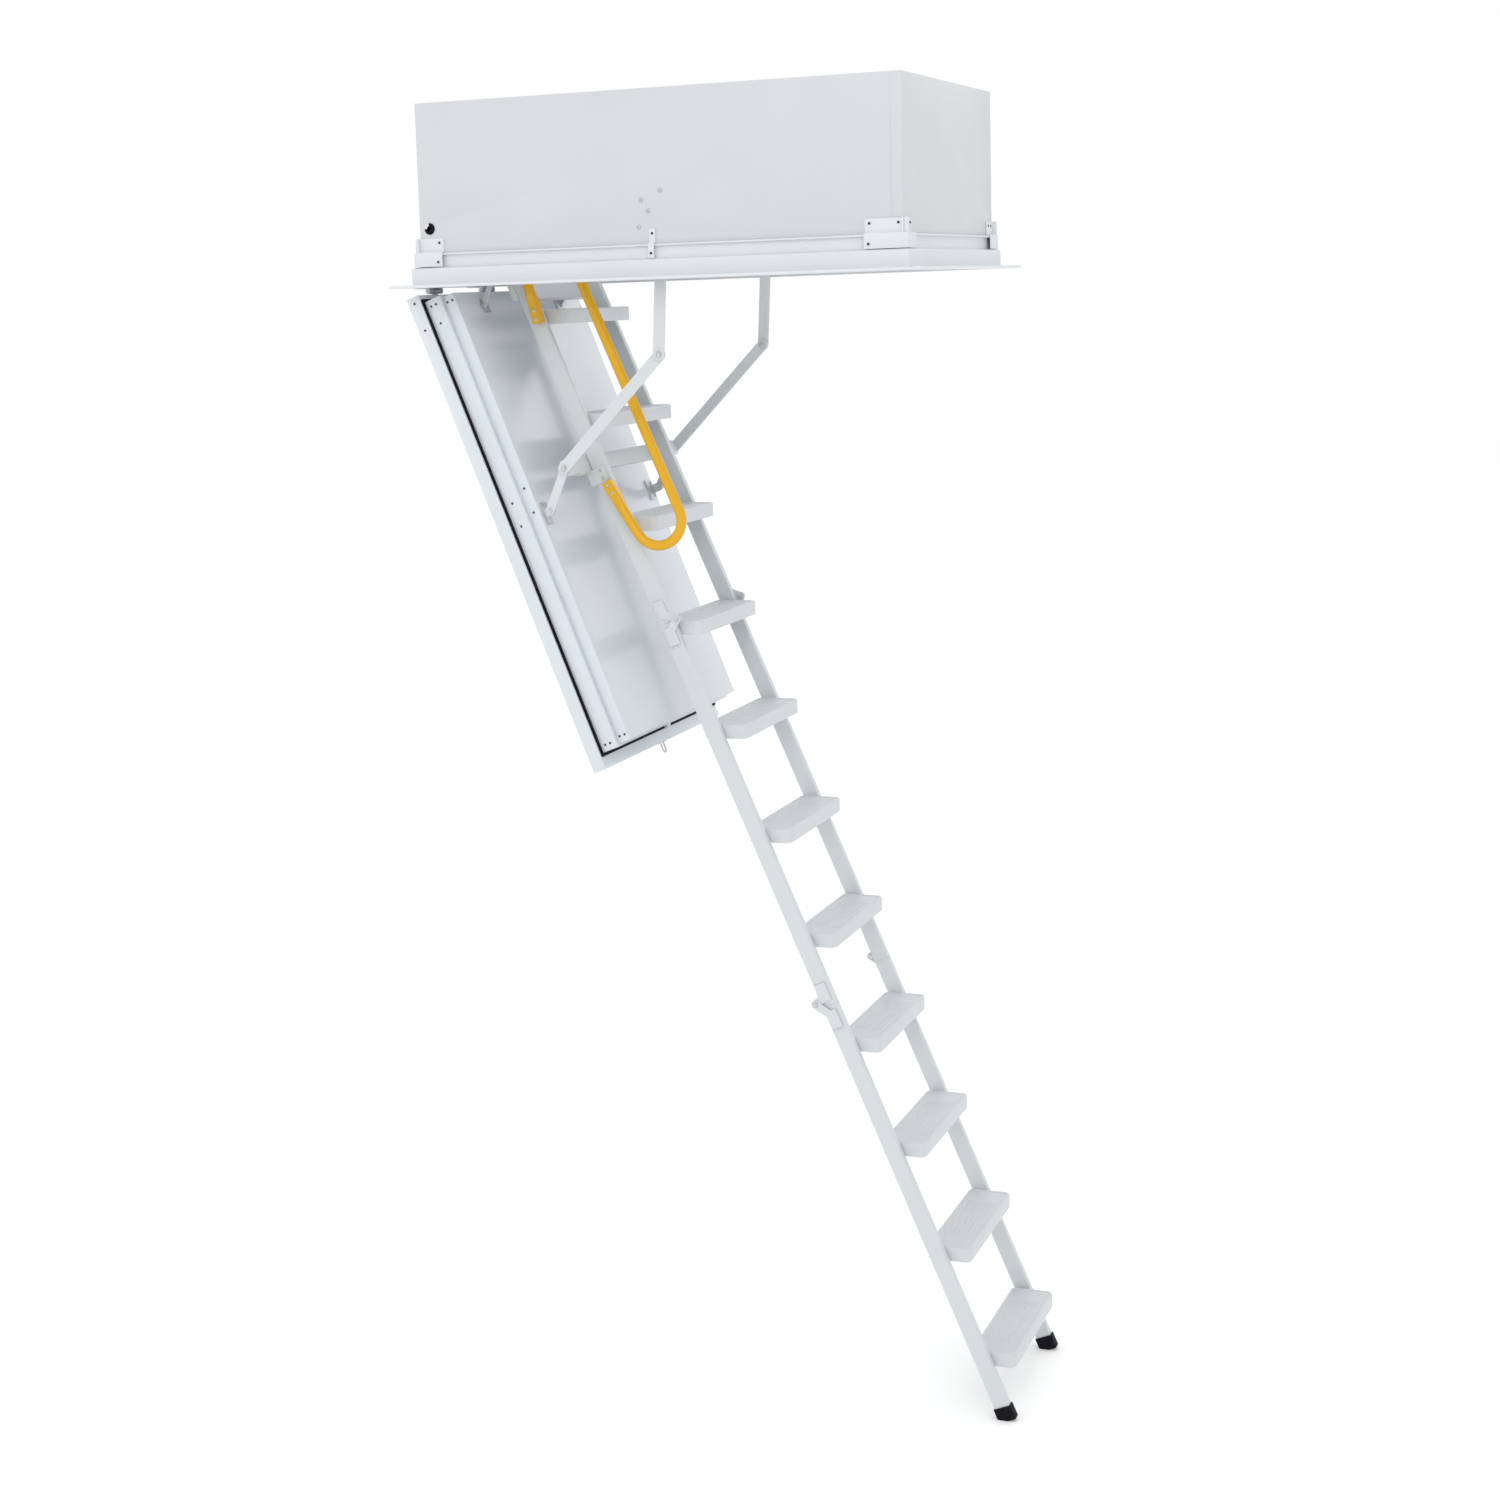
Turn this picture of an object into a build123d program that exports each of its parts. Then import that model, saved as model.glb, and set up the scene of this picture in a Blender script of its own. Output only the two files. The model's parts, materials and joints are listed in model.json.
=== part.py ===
"""Folding attic ladder: steel casing, insulated hatch and a three-section zig-zag ladder.

Millimetres. X runs along the casing from the hinge end to the free end, Y across it
(the near side is -Y) and Z up. The origin is the centre of the casing opening in the
plane of the ceiling flange's underside. The ladder is modelled unfolded.

The ladder's own frame runs s down the ladder and n out of its climbing side. The
hatch's own frame runs u away from the hinge pin and n out of its attic side.
"""
from build123d import *
from math import atan2, cos, degrees, radians, sin
import os

# ---- casing
CASING_LENGTH = 1212.0
CASING_WIDTH = 796.0
CASING_HEIGHT = 440.0
SHEET = 1.5
END_PANEL_RETURN = 25.0
# ---- ceiling frame round the casing's lower edge
FLANGE_WIDTH = 61.0
FLANGE_THICKNESS = 7.0
FLANGE_CHAMFER = 2.0
RAIL_DEPTH = 18.0
RAIL_HEIGHT = 46.0
RAIL_SHEET = 1.5
RAIL_SLOPE = 3.0
CHANNEL_FLOOR = 2.5
CHANNEL_TOP = 78.0
UPPER_LIP_DEPTH = 10.0
UPPER_LIP_THICKNESS = 4.0
BRACKET_SHEET = 2.5
BRACKET_TOP = 118.0
BRACKET_FOOT = 50.0
BRACKET_LEG_FREE = 90.0
BRACKET_LEG_HINGE = 63.0
BRACKET_LEG_Y = 60.0
CLIP_WIDTH = 15.0
# ---- hatch
HATCH_ANGLE = 68.6
PIN_SETBACK = 18.0
PIN_DROP = 8.0
LEAF_OVERRUN = 39.0
LEAF_START = 9.0
LEAF_DEPTH = 33.0
LEAF_SHEET = 1.5
SEAL_HEIGHT = 5.0
SEAL_WIDTH = 9.0
TRAY_SHEET = 1.2
TRAY_LEDGE = 12.0
LOWER_TRAY_START = 30.0
LOWER_TRAY_INSET = 14.0
LOWER_TRAY_TOP = 47.0
UPPER_TRAY_START = 36.0
UPPER_TRAY_STEP = 7.0
UPPER_TRAY_INSET = 26.0
UPPER_TRAY_TOP = 78.0
HINGE_PLACES = (-300.0, 0.0, 300.0)
HINGE_PIN_R = 3.0
KNUCKLE_R = 6.5
KNUCKLE_LENGTH = 24.0
HINGE_LEAF = 2.0
HINGE_LEAF_BACK = 38.0
HINGE_LEAF_FRONT = 6.0
HATCH_LEAF = 3.0
HINGE_NECK = 5.0
RUNNING = 0.06
GAP = 0.4
# ---- ladder
LADDER_ANGLE = 66.93
LADDER_TOP_X = -495.2
LADDER_TOP_Z = 176.0
PITCH = 278.4
STRINGER_DEPTH = 40.0
STRINGER_WIDTH = 20.0
STRINGER_WALL = 2.0
STRINGER_CORNER = 2.5
STRINGER_INNER = 210.0
UPPER_START = 74.0
FOOT_LENGTH = 36.0
FOOT_WALL = 2.5
FOOT_SOLE = 14.0
LADDER_END = 3220.0
TREAD_DEPTH = 108.6
TREAD_THICKNESS = 35.0
TREAD_SKIN = 1.5
TREAD_RECESS = 2.0
TREAD_RIM = 7.0
TREAD_TAB = 14.0
TREAD_OVERHANG = 55.0
TREAD_END_GAP = 3.0
TREAD_CORNER = 16.0
TREADS_UPPER = (2, 3, 4)
TREADS_MIDDLE = (5, 6, 7, 8)
TREADS_LOWER = (9, 10, 11, 12)
# ---- fold hinges
FOLD_A_S = 1100.0
FOLD_B_S = 2104.0
FOLD_OFFSET = 12.0
FOLD_B_SPLIT = 14.0
FOLD_LEAF = 3.0
FOLD_EAR_R = 10.0
FOLD_PIN_R = 4.0
FOLD_PLATE_START = 12.0
FOLD_PLATE_LENGTH = 46.0
FOLD_PLATE_FRONT = 16.0
FOLD_PLATE_BACK = 12.0
FOLD_PAD_START = 6.0
FOLD_HEAD_R = 6.5
FOLD_HEAD = 2.6
FOLD_SHANK_END = 4.0
# ---- links between hatch and ladder
BOLT_R = 4.0
EAR_THICKNESS = 5.1
LINK_FOOT = 3.0
LINK_FOOT_MARGIN = 6.0
LINK_FOOT_REACH = 34.0
PIN_HEAD = 2.6
PIN_HEAD_R = 6.0
LINK_THICKNESS = 5.0
LOWER_LINK_WIDTH = 22.0
UPPER_LINK_WIDTH = 12.4
LINK_END_S = 660.6
LINK_END_N = -28.5
LINK_SPACING = 545.0
TIE_BAR_S = 200.0
LINK_ROOT_U = 617.4
LINK_ROOT_N = 100.7
CROSSBAR_WIDTH = 40.0
CROSSBAR_THICKNESS = 16.0
CROSSBAR_SHEET = 2.5
ARM_INSET = 40.0
UPPER_CROSSBAR_HALF = 238.0
CROSSBAR_PIN_DEPTH = 30.0
GUSSET_LENGTH = 38.0
GUSSET_SHEET = 3.0
GUSSET_REACH = 70.0
GUSSET_FRONT = 14.0
GUSSET_SCREW_EDGE = 9.0
LINK_PIN_PROUD = 0.2
# ---- folding arms
ARM_WIDTH = 28.0
ARM_SPACE = 1.0
ARM_PIVOT = (18.0, 206.0)
ARM_ELBOW = (-4.0, -175.5)
ARM_BOLTS = ((22.0, 205.0), (-26.0, 184.5), (-9.5, 158.5), (-33.5, 122.5))
ARM_BOLT_HEAD = (5.0, 3.0)
ARM_PLATE = 3.0
ARM_PLATE_MARGIN = 14.0
ARM_PLATE_CORNER = 10.0
ARM_COLLAR_R = 8.0
# ---- handrail
RAIL_TUBE_R = 12.5
RAIL_Y = -255.0
RAIL_BEND = 62.0
RAIL_RUN_N = 160.0
RAIL_FIRST_BEND_S = 161.0
RAIL_LAST_BEND_S = 862.0
RAIL_END_RUN = 107.0
RAIL_END_SLOPE = 9.9
RAIL_FLAT_LENGTH = 52.0
RAIL_FLAT_OUTER = 4.0
RAIL_FLAT_CORNER = 8.0
RAIL_SCREWS = (12.0, 34.0)
# ---- latch
LATCH_N = 21.0
LATCH_WIDTH = 16.0
LATCH_HEIGHT = 14.0
LATCH_CASE = 62.0
LATCH_CASE_HALF = 22.0
LATCH_CASE_N = (4.0, 40.0)
LATCH_WALL = 3.5
LATCH_NOSE_SLOPE = 35.0
LATCH_NOSE_CUT = (16.0, 8.0)
LATCH_BOLT = 50.0
LATCH_THROW = 10.0
STRIKE_HALF = 28.0
STRIKE_SHEET = 2.0
STRIKE_SHELF = 9.0
STRIKE_Z = (3.0, 60.0)
EYE_BASE_HALF = 16.0
EYE_BASE = 2.0
EYE_N = -12.0
EYE_HEIGHT = 8.0
EYE_R = 9.0
EYE_WIRE = 2.2
# ---- fixings
FAR = 3000.0
FRAME_SCREW = (3.2, 1.6)
FRAME_SCREW_EDGE = 11.0
END_SCREWS = (20.0, 45.0)
TRAY_SCREW = (3.0, 1.2)
TRAY_SCREW_PITCH = 14.0
TRAY_SCREW_EDGE = 16.0
LOWER_TRAY_SCREWS = (93.0, 566.0, 626.0)
UPPER_TRAY_SCREWS = (543.0, 606.0)
LEAF_SCREWS = (25.0, 95.0)
LADDER_SCREW = (4.0, 2.0)
NUT_ACROSS = 13.0
NUT_HEIGHT = 4.5
FIXING_X = -579.0
FIXING_Z = 141.0
FIXING_R = 12.5
FIXING_BORE = 7.0
GROMMET_LIP = 1.6
GROMMET_LENGTH = 30.0
GROMMET_FLANGE = 2.0
GROMMET_SQUEEZE = 0.05

HALF_LENGTH = CASING_LENGTH / 2
HALF_WIDTH = CASING_WIDTH / 2
INNER_HALF = HALF_WIDTH - SHEET
LEAF_LENGTH = CASING_LENGTH + LEAF_OVERRUN
LOWER_TRAY_END = CASING_LENGTH
LOWER_TRAY_HALF = HALF_WIDTH - LOWER_TRAY_INSET
UPPER_TRAY_END = LOWER_TRAY_END - UPPER_TRAY_STEP
UPPER_TRAY_HALF = HALF_WIDTH - UPPER_TRAY_INSET
LOWER_CROSSBAR_HALF = HALF_WIDTH - ARM_INSET
STRINGER_OUTER = STRINGER_INNER + STRINGER_WIDTH
HALF_DEPTH = STRINGER_DEPTH / 2
LINK_INNER = LOWER_CROSSBAR_HALF + GAP
LINK_OUTER = LINK_INNER + LINK_THICKNESS
LINKS = (
    (0.0, LINK_INNER, LOWER_LINK_WIDTH),
    (LINK_SPACING, UPPER_CROSSBAR_HALF + GAP, UPPER_LINK_WIDTH),
)
LOWER_ARM_INNER = LINK_OUTER + ARM_SPACE
LOWER_ARM_OUTER = LOWER_ARM_INNER + LINK_THICKNESS
UPPER_ARM_INNER = LOWER_ARM_OUTER + ARM_SPACE
UPPER_ARM_OUTER = UPPER_ARM_INNER + LINK_THICKNESS


def tilted(origin_x, origin_z, angle):
    """Location of a frame whose X runs down at the angle below the horizontal."""
    dip = radians(angle)
    down = (cos(dip), 0, -sin(dip))
    out = (sin(dip), 0, cos(dip))
    return Plane(origin=(origin_x, 0, origin_z), x_dir=down, z_dir=out).location


LADDER = tilted(LADDER_TOP_X, LADDER_TOP_Z, LADDER_ANGLE)
HATCH = tilted(-HALF_LENGTH - PIN_SETBACK, -PIN_DROP, HATCH_ANGLE)
SIDES = (-1, 1)


def block(x, y, z):
    """Box between two values on each axis."""
    sizes = [abs(b - a) for a, b in (x, y, z)]
    middles = [(a + b) / 2 for a, b in (x, y, z)]
    return Pos(*middles) * Box(*sizes)


def rod(x, z, y0, y1, radius):
    """Cylinder along Y."""
    return Pos(x, (y0 + y1) / 2, z) * Rot(90, 0, 0) * Cylinder(radius, abs(y1 - y0))


def hexagon(x, z, y0, y1, across):
    """Hexagonal prism along Y, for nuts and bolt heads."""
    plane = Plane((x, min(y0, y1), z), x_dir=(1, 0, 0), z_dir=(0, 1, 0))
    outline = plane * RegularPolygon(across / 2, 6, major_radius=False)
    return extrude(outline, abs(y1 - y0))


def strap(start, end, width, y0, y1, bores=()):
    """Flat bar in XZ with round ends, bored at (x, z, radius)."""
    (x0, z0), (x1, z1) = start, end
    run = ((x1 - x0) ** 2 + (z1 - z0) ** 2) ** 0.5
    dip = degrees(atan2(z0 - z1, x1 - x0))
    middle = Pos((x0 + x1) / 2, (y0 + y1) / 2, (z0 + z1) / 2)
    bar = middle * Rot(0, dip, 0) * Box(run, abs(y1 - y0), width)
    bar += rod(x0, z0, y0, y1, width / 2)
    bar += rod(x1, z1, y0, y1, width / 2)
    low = min(y0, y1) - 1
    high = max(y0, y1) + 1
    for x, z, radius in bores:
        bar -= rod(x, z, low, high, radius)
    return bar


def group(solids):
    """One node made of several separate solids."""
    return Compound(children=list(solids))


def save(shape, name):
    export_step(shape, f"parts/{name}.step")


def both(make):
    """The same piece on the near and the far side."""
    return group(make(side) for side in SIDES)


def to_xz(frame, x, z):
    """World (x, z) of a point given in a tilted frame."""
    point = (frame * Pos(x, 0, z)).position
    return point.X, point.Z


def link_end(back):
    """World (x, z) of a link's pin on the ladder, a distance back up it from the lower one."""
    return to_xz(LADDER, LINK_END_S - back, LINK_END_N)


def link_root(back):
    """World (x, z) of the link's pin on the hatch; the two links stay parallel."""
    root = to_xz(HATCH, LINK_ROOT_U, LINK_ROOT_N)
    return tuple(start + here - first for start, here, first in zip(root, link_end(back), link_end(0)))


# ------------------------------------------------------------------ casing
def side_panel(side):
    outer = side * HALF_WIDTH
    inner = side * INNER_HALF
    panel = block((-HALF_LENGTH + SHEET, HALF_LENGTH - SHEET), (inner, outer), (0, CASING_HEIGHT))
    return panel - rod(FIXING_X, FIXING_Z, inner - side * 2, outer + side * 2, FIXING_R)


def end_panel(end):
    """End wall; above the brackets the free end's is folded round the side panels."""
    outer = end * HALF_LENGTH
    web = block((outer - end * SHEET, outer), (-HALF_WIDTH, HALF_WIDTH), (0, CASING_HEIGHT))
    if end < 0:
        return web
    for side in SIDES:
        web += block(
            (outer - end * END_PANEL_RETURN, outer),
            (side * HALF_WIDTH, side * (HALF_WIDTH + SHEET)),
            (BRACKET_TOP + GAP, CASING_HEIGHT),
        )
    return web


def rail_profile():
    """Outline of the ceiling frame, as (distance out of the casing wall, height)."""
    return [
        (0, 0), (FLANGE_WIDTH - FLANGE_CHAMFER, 0), (FLANGE_WIDTH, FLANGE_CHAMFER),
        (FLANGE_WIDTH, FLANGE_THICKNESS), (RAIL_DEPTH, FLANGE_THICKNESS), (RAIL_DEPTH, RAIL_HEIGHT),
        (UPPER_LIP_DEPTH, RAIL_HEIGHT + RAIL_SLOPE), (CHANNEL_FLOOR, RAIL_HEIGHT + RAIL_SLOPE),
        (CHANNEL_FLOOR, CHANNEL_TOP), (UPPER_LIP_DEPTH, CHANNEL_TOP),
        (UPPER_LIP_DEPTH, CHANNEL_TOP + UPPER_LIP_THICKNESS), (0, CHANNEL_TOP + UPPER_LIP_THICKNESS),
    ]


def rail_hollow():
    """Outline of the hollow inside the folded ceiling frame, in the same frame as its profile."""
    inner = RAIL_DEPTH - RAIL_SHEET
    lip = FLANGE_WIDTH - FLANGE_CHAMFER - RAIL_SHEET
    return [
        (RAIL_SHEET, RAIL_SHEET), (lip, RAIL_SHEET), (lip, FLANGE_THICKNESS - RAIL_SHEET),
        (inner, FLANGE_THICKNESS - RAIL_SHEET), (inner, RAIL_HEIGHT - RAIL_SHEET),
        (RAIL_SHEET, RAIL_HEIGHT - RAIL_SHEET),
    ]


def mitred_rail(half_run, wall, turn):
    """Rail along X outside a wall at +Y, mitred at both ends, then turned about Z."""
    reach = half_run + FLANGE_WIDTH
    plane = Plane((-reach, 0, 0), x_dir=(0, 1, 0), z_dir=(1, 0, 0))
    rail = None
    for outline in (rail_profile(), rail_hollow()):
        face = plane * make_face(Polyline([(wall + d, z) for d, z in outline], close=True))
        run = extrude(face, 2 * reach)
        rail = run if rail is None else rail - run
    for end in SIDES:
        corner = Pos(end * half_run, wall, 0)
        rail -= corner * Rot(0, 0, -end * 45) * block((0, end * FAR), (-FAR, FAR), (-FAR, FAR))
    return Rot(0, 0, turn) * rail


def base_rails(half_run, wall, turns):
    return group(mitred_rail(half_run, wall, turn) for turn in turns)


def bracket_profile():
    """Cranked plate that hooks over the rail's upper lip, as (distance out, height)."""
    seat = CHANNEL_TOP + UPPER_LIP_THICKNESS + GAP
    reach = UPPER_LIP_DEPTH + GAP
    return [
        (0, BRACKET_TOP), (BRACKET_SHEET, BRACKET_TOP), (BRACKET_SHEET, seat + BRACKET_SHEET),
        (reach + BRACKET_SHEET, seat + BRACKET_SHEET), (reach + BRACKET_SHEET, BRACKET_FOOT),
        (reach, BRACKET_FOOT), (reach, seat), (0, seat),
    ]


def cranked_plate(x0, x1, wall):
    """Cranked plate outside a wall at +Y, between two X values."""
    face = Plane((min(x0, x1), 0, 0), x_dir=(0, 1, 0), z_dir=(1, 0, 0)) * make_face(
        Polyline([(wall + d, z) for d, z in bracket_profile()], close=True)
    )
    return extrude(face, abs(x1 - x0))


def bracket_leg(end):
    """How far a corner bracket runs along the side wall."""
    return BRACKET_LEG_FREE if end > 0 else BRACKET_LEG_HINGE


def corner_bracket(end, side):
    """Bracket round one corner, fixed to the side and end walls."""
    reach = UPPER_LIP_DEPTH + GAP + BRACKET_SHEET
    long_leg = cranked_plate(end * (HALF_LENGTH - bracket_leg(end)), end * (HALF_LENGTH + reach), HALF_WIDTH)
    short_leg = cranked_plate(-(HALF_WIDTH + reach), -(HALF_WIDTH - BRACKET_LEG_Y), HALF_LENGTH)
    short_leg = Rot(0, 0, -90) * short_leg
    if end * side < 0:
        short_leg = mirror(short_leg, Plane.XZ)
    if end < 0:
        short_leg = Rot(0, 0, 180) * short_leg
    if side < 0:
        long_leg = mirror(long_leg, Plane.XZ)
    quadrant = block((0, end * FAR), (0, side * FAR), (0, FAR))
    trimmed = (long_leg + (short_leg & quadrant)) & quadrant
    outer_box = block(
        (end * (HALF_LENGTH - bracket_leg(end)), end * (HALF_LENGTH + reach)),
        (side * (HALF_WIDTH - BRACKET_LEG_Y), side * (HALF_WIDTH + reach)),
        (0, FAR),
    )
    lip = block(
        (0, end * (HALF_LENGTH + UPPER_LIP_DEPTH + GAP)), (0, side * (HALF_WIDTH + UPPER_LIP_DEPTH + GAP)),
        (0, CHANNEL_TOP + UPPER_LIP_THICKNESS + GAP),
    )
    walls = block((0, end * HALF_LENGTH), (0, side * HALF_WIDTH), (0, FAR))
    return (trimmed & outer_box) - lip - walls


def rail_brackets():
    corners = [corner_bracket(end, side) for end in SIDES for side in SIDES]
    clip = cranked_plate(-CLIP_WIDTH / 2, CLIP_WIDTH / 2, HALF_WIDTH)
    return group(corners + [clip, mirror(clip, Plane.XZ)])


def screw_on_side(x, z, y, side, size=FRAME_SCREW):
    """Head, of (radius, height), standing on a face at +/-Y."""
    radius, head = size
    return rod(x, z, side * y, side * (y + head), radius)


def screw_on_end(y, z, x, end):
    """Head standing on a face at +/-X."""
    radius, head = FRAME_SCREW
    return Pos(end * (x + head / 2), y, z) * Rot(0, 90, 0) * Cylinder(radius, head)


def frame_screws():
    """Screw heads on the corner brackets, the clips and the ends of the casing."""
    reach = UPPER_LIP_DEPTH + GAP + BRACKET_SHEET
    upper_face = HALF_WIDTH + BRACKET_SHEET
    high = BRACKET_TOP - FRAME_SCREW_EDGE
    low = BRACKET_FOOT + FRAME_SCREW_EDGE
    screws = []
    for side in SIDES:
        for end in SIDES:
            x = end * (HALF_LENGTH - bracket_leg(end) + FRAME_SCREW_EDGE)
            screws.append(screw_on_side(x, high, upper_face, side))
            screws.append(screw_on_side(x, low, HALF_WIDTH + reach, side))
            if end > 0:
                screws.append(screw_on_side(HALF_LENGTH - FRAME_SCREW_EDGE, high, upper_face, side))
            for back in END_SCREWS:
                y = side * (HALF_WIDTH - back)
                screws.append(screw_on_end(y, high, HALF_LENGTH + BRACKET_SHEET, end))
        screws.append(screw_on_side(0, high, upper_face, side))
        screws.append(screw_on_side(0, low, HALF_WIDTH + reach, side))
    return group(screws)


def fixing_grommet(side):
    """Flanged sleeve through the side panel."""
    face = side * HALF_WIDTH
    outer = side * (HALF_WIDTH + GROMMET_LIP)
    inner = side * (HALF_WIDTH + GROMMET_LIP - GROMMET_LENGTH)
    sleeve = rod(FIXING_X, FIXING_Z, inner, outer, FIXING_R - GROMMET_SQUEEZE)
    sleeve += rod(FIXING_X, FIXING_Z, face, outer, FIXING_R + GROMMET_FLANGE)
    return sleeve - rod(FIXING_X, FIXING_Z, inner - side, outer + side, FIXING_BORE)


def arm_bracket(side):
    """Plate inside the side wall with the stud that the upper arm turns on."""
    xs, zs = zip(*ARM_BOLTS)
    x_span = (min(xs) - ARM_PLATE_MARGIN, max(xs) + ARM_PLATE_MARGIN)
    z_span = (min(zs) - ARM_PLATE_MARGIN, max(zs) + ARM_PLATE_MARGIN)
    face = side * (INNER_HALF - ARM_PLATE)
    plate = block(x_span, (side * INNER_HALF, face), z_span)
    plate = fillet(plate.edges().filter_by(Axis.Y), ARM_PLATE_CORNER)
    x, z = ARM_PIVOT
    shoulder = side * (UPPER_ARM_OUTER + GAP)
    tip = side * (UPPER_ARM_INNER - GAP - NUT_HEIGHT)
    plate += rod(x, z, face, shoulder, ARM_COLLAR_R) + rod(x, z, shoulder, tip, BOLT_R)
    return plate + hexagon(x, z, side * (UPPER_ARM_INNER - GAP), tip, NUT_ACROSS)


def arm_bracket_bolts():
    """Dome heads of the bolts that hold the arm brackets, outside the side walls."""
    return group(screw_on_side(x, z, HALF_WIDTH, side, ARM_BOLT_HEAD) for side in SIDES for x, z in ARM_BOLTS)


# ------------------------------------------------------------------ hatch hinge
def knuckle_spans(place, part):
    """Y spans of one hinge's knuckles; the hatch has the middle one, the frame the outer two."""
    half = KNUCKLE_LENGTH / 2
    if part == "hatch":
        return [(place - half, place + half)]
    return [
        (place - half - GAP - KNUCKLE_LENGTH, place - half - GAP),
        (place + half + GAP, place + half + GAP + KNUCKLE_LENGTH),
    ]


def frame_hinge(place):
    """Leaf under the flange with two knuckles round the pin."""
    x = -HALF_LENGTH - PIN_SETBACK
    reach = 1.5 * KNUCKLE_LENGTH + GAP
    slot = KNUCKLE_LENGTH / 2 + GAP
    length = (x - HINGE_LEAF_BACK, x + HINGE_LEAF_FRONT)
    leaf = block(length, (place - reach, place + reach), (-HINGE_LEAF, 0))
    leaf -= block((x - KNUCKLE_R - 2 * GAP, x + FAR), (place - slot, place + slot), (-FAR, FAR))
    for y0, y1 in knuckle_spans(place, "frame"):
        leaf += rod(x, -PIN_DROP, y0, y1, KNUCKLE_R)
        leaf += block((x - HINGE_NECK, x + HINGE_NECK), (y0, y1), (-PIN_DROP, -HINGE_LEAF / 2))
        leaf -= rod(x, -PIN_DROP, y0 - 1, y1 + 1, HINGE_PIN_R + RUNNING)
    return leaf


def hatch_hinge(place):
    """Leaf on the hatch's hinge edge with the middle knuckle."""
    (y0, y1), = knuckle_spans(place, "hatch")
    knuckle = rod(0, 0, y0, y1, KNUCKLE_R)
    leaf = block((LEAF_START - HATCH_LEAF, LEAF_START), (y0, y1), (-LEAF_DEPTH, 0))
    neck = block((0, LEAF_START), (y0, y1), (-HINGE_NECK, 0))
    solid = knuckle + leaf + neck - rod(0, 0, y0 - 1, y1 + 1, HINGE_PIN_R + RUNNING)
    return HATCH * solid


def hinge_pin(place):
    reach = 1.5 * KNUCKLE_LENGTH + GAP + 1
    return rod(-HALF_LENGTH - PIN_SETBACK, -PIN_DROP, place - reach, place + reach, HINGE_PIN_R)


# ------------------------------------------------------------------ hatch
def pan(x, half, z, sheet, open_top):
    """Folded sheet tray, open on one side."""
    outer = block(x, (-half, half), z)
    low = z[0] + (sheet if open_top else -1)
    high = z[1] + (1 if open_top else -sheet)
    return outer - block((x[0] + sheet, x[1] - sheet), (-half + sheet, half - sheet), (low, high))


def hatch_outer_leaf():
    leaf = pan((LEAF_START, LEAF_LENGTH), HALF_WIDTH, (-LEAF_DEPTH, 0), LEAF_SHEET, True)
    rim = block((LEAF_START, LEAF_LENGTH), (-HALF_WIDTH, HALF_WIDTH), (-LEAF_SHEET, 0))
    rim -= block(
        (LOWER_TRAY_START + TRAY_LEDGE, LOWER_TRAY_END - TRAY_LEDGE),
        (-LOWER_TRAY_HALF + TRAY_LEDGE, LOWER_TRAY_HALF - TRAY_LEDGE), (-LEAF_DEPTH / 2, LEAF_DEPTH / 2),
    )
    return HATCH * (leaf + rim)


def hatch_seal():
    outer = block(
        (LOWER_TRAY_START - SEAL_WIDTH, LOWER_TRAY_END + SEAL_WIDTH),
        (-LOWER_TRAY_HALF - SEAL_WIDTH, LOWER_TRAY_HALF + SEAL_WIDTH), (0, SEAL_HEIGHT),
    )
    half = LOWER_TRAY_HALF
    hole = block((LOWER_TRAY_START, LOWER_TRAY_END), (-half, half), (-1, SEAL_HEIGHT + 1))
    return HATCH * (outer - hole)


def lower_tray():
    length = (LOWER_TRAY_START, LOWER_TRAY_END)
    tray = pan(length, LOWER_TRAY_HALF, (0, LOWER_TRAY_TOP), TRAY_SHEET, False)
    tray -= block(
        (UPPER_TRAY_START + TRAY_LEDGE, UPPER_TRAY_END - TRAY_LEDGE),
        (-UPPER_TRAY_HALF + TRAY_LEDGE, UPPER_TRAY_HALF - TRAY_LEDGE), (LOWER_TRAY_TOP - 2 * TRAY_SHEET, FAR),
    )
    tray -= block((LOWER_TRAY_END - 2 * TRAY_SHEET, FAR), *latch_slot(GAP))
    return HATCH * tray


def upper_tray():
    length = (UPPER_TRAY_START, UPPER_TRAY_END)
    return HATCH * pan(length, UPPER_TRAY_HALF, (LOWER_TRAY_TOP, UPPER_TRAY_TOP), TRAY_SHEET, False)


def hatch_screws():
    """Screw heads down the stepped sides: a pair at each end of a tray, and singles between."""
    lower = LOWER_TRAY_TOP / 2
    upper = (LOWER_TRAY_TOP + UPPER_TRAY_TOP) / 2
    rows = (
        (LOWER_TRAY_HALF, lower, LOWER_TRAY_START, LOWER_TRAY_END, LOWER_TRAY_SCREWS),
        (UPPER_TRAY_HALF, upper, UPPER_TRAY_START, UPPER_TRAY_END, UPPER_TRAY_SCREWS),
    )
    screws = []
    for side in SIDES:
        for half, centre, start, end, singles in rows:
            for u in (start + TRAY_SCREW_EDGE, end - TRAY_SCREW_EDGE):
                for shift in (-TRAY_SCREW_PITCH / 2, TRAY_SCREW_PITCH / 2):
                    screws.append(screw_on_side(u, centre + shift, half, side, TRAY_SCREW))
            for u in singles:
                screws.append(screw_on_side(u, centre, half, side, TRAY_SCREW))
        for u in LEAF_SCREWS:
            screws.append(screw_on_side(u, -LEAF_DEPTH / 2, HALF_WIDTH, side, TRAY_SCREW))
    return HATCH * group(screws)


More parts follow.
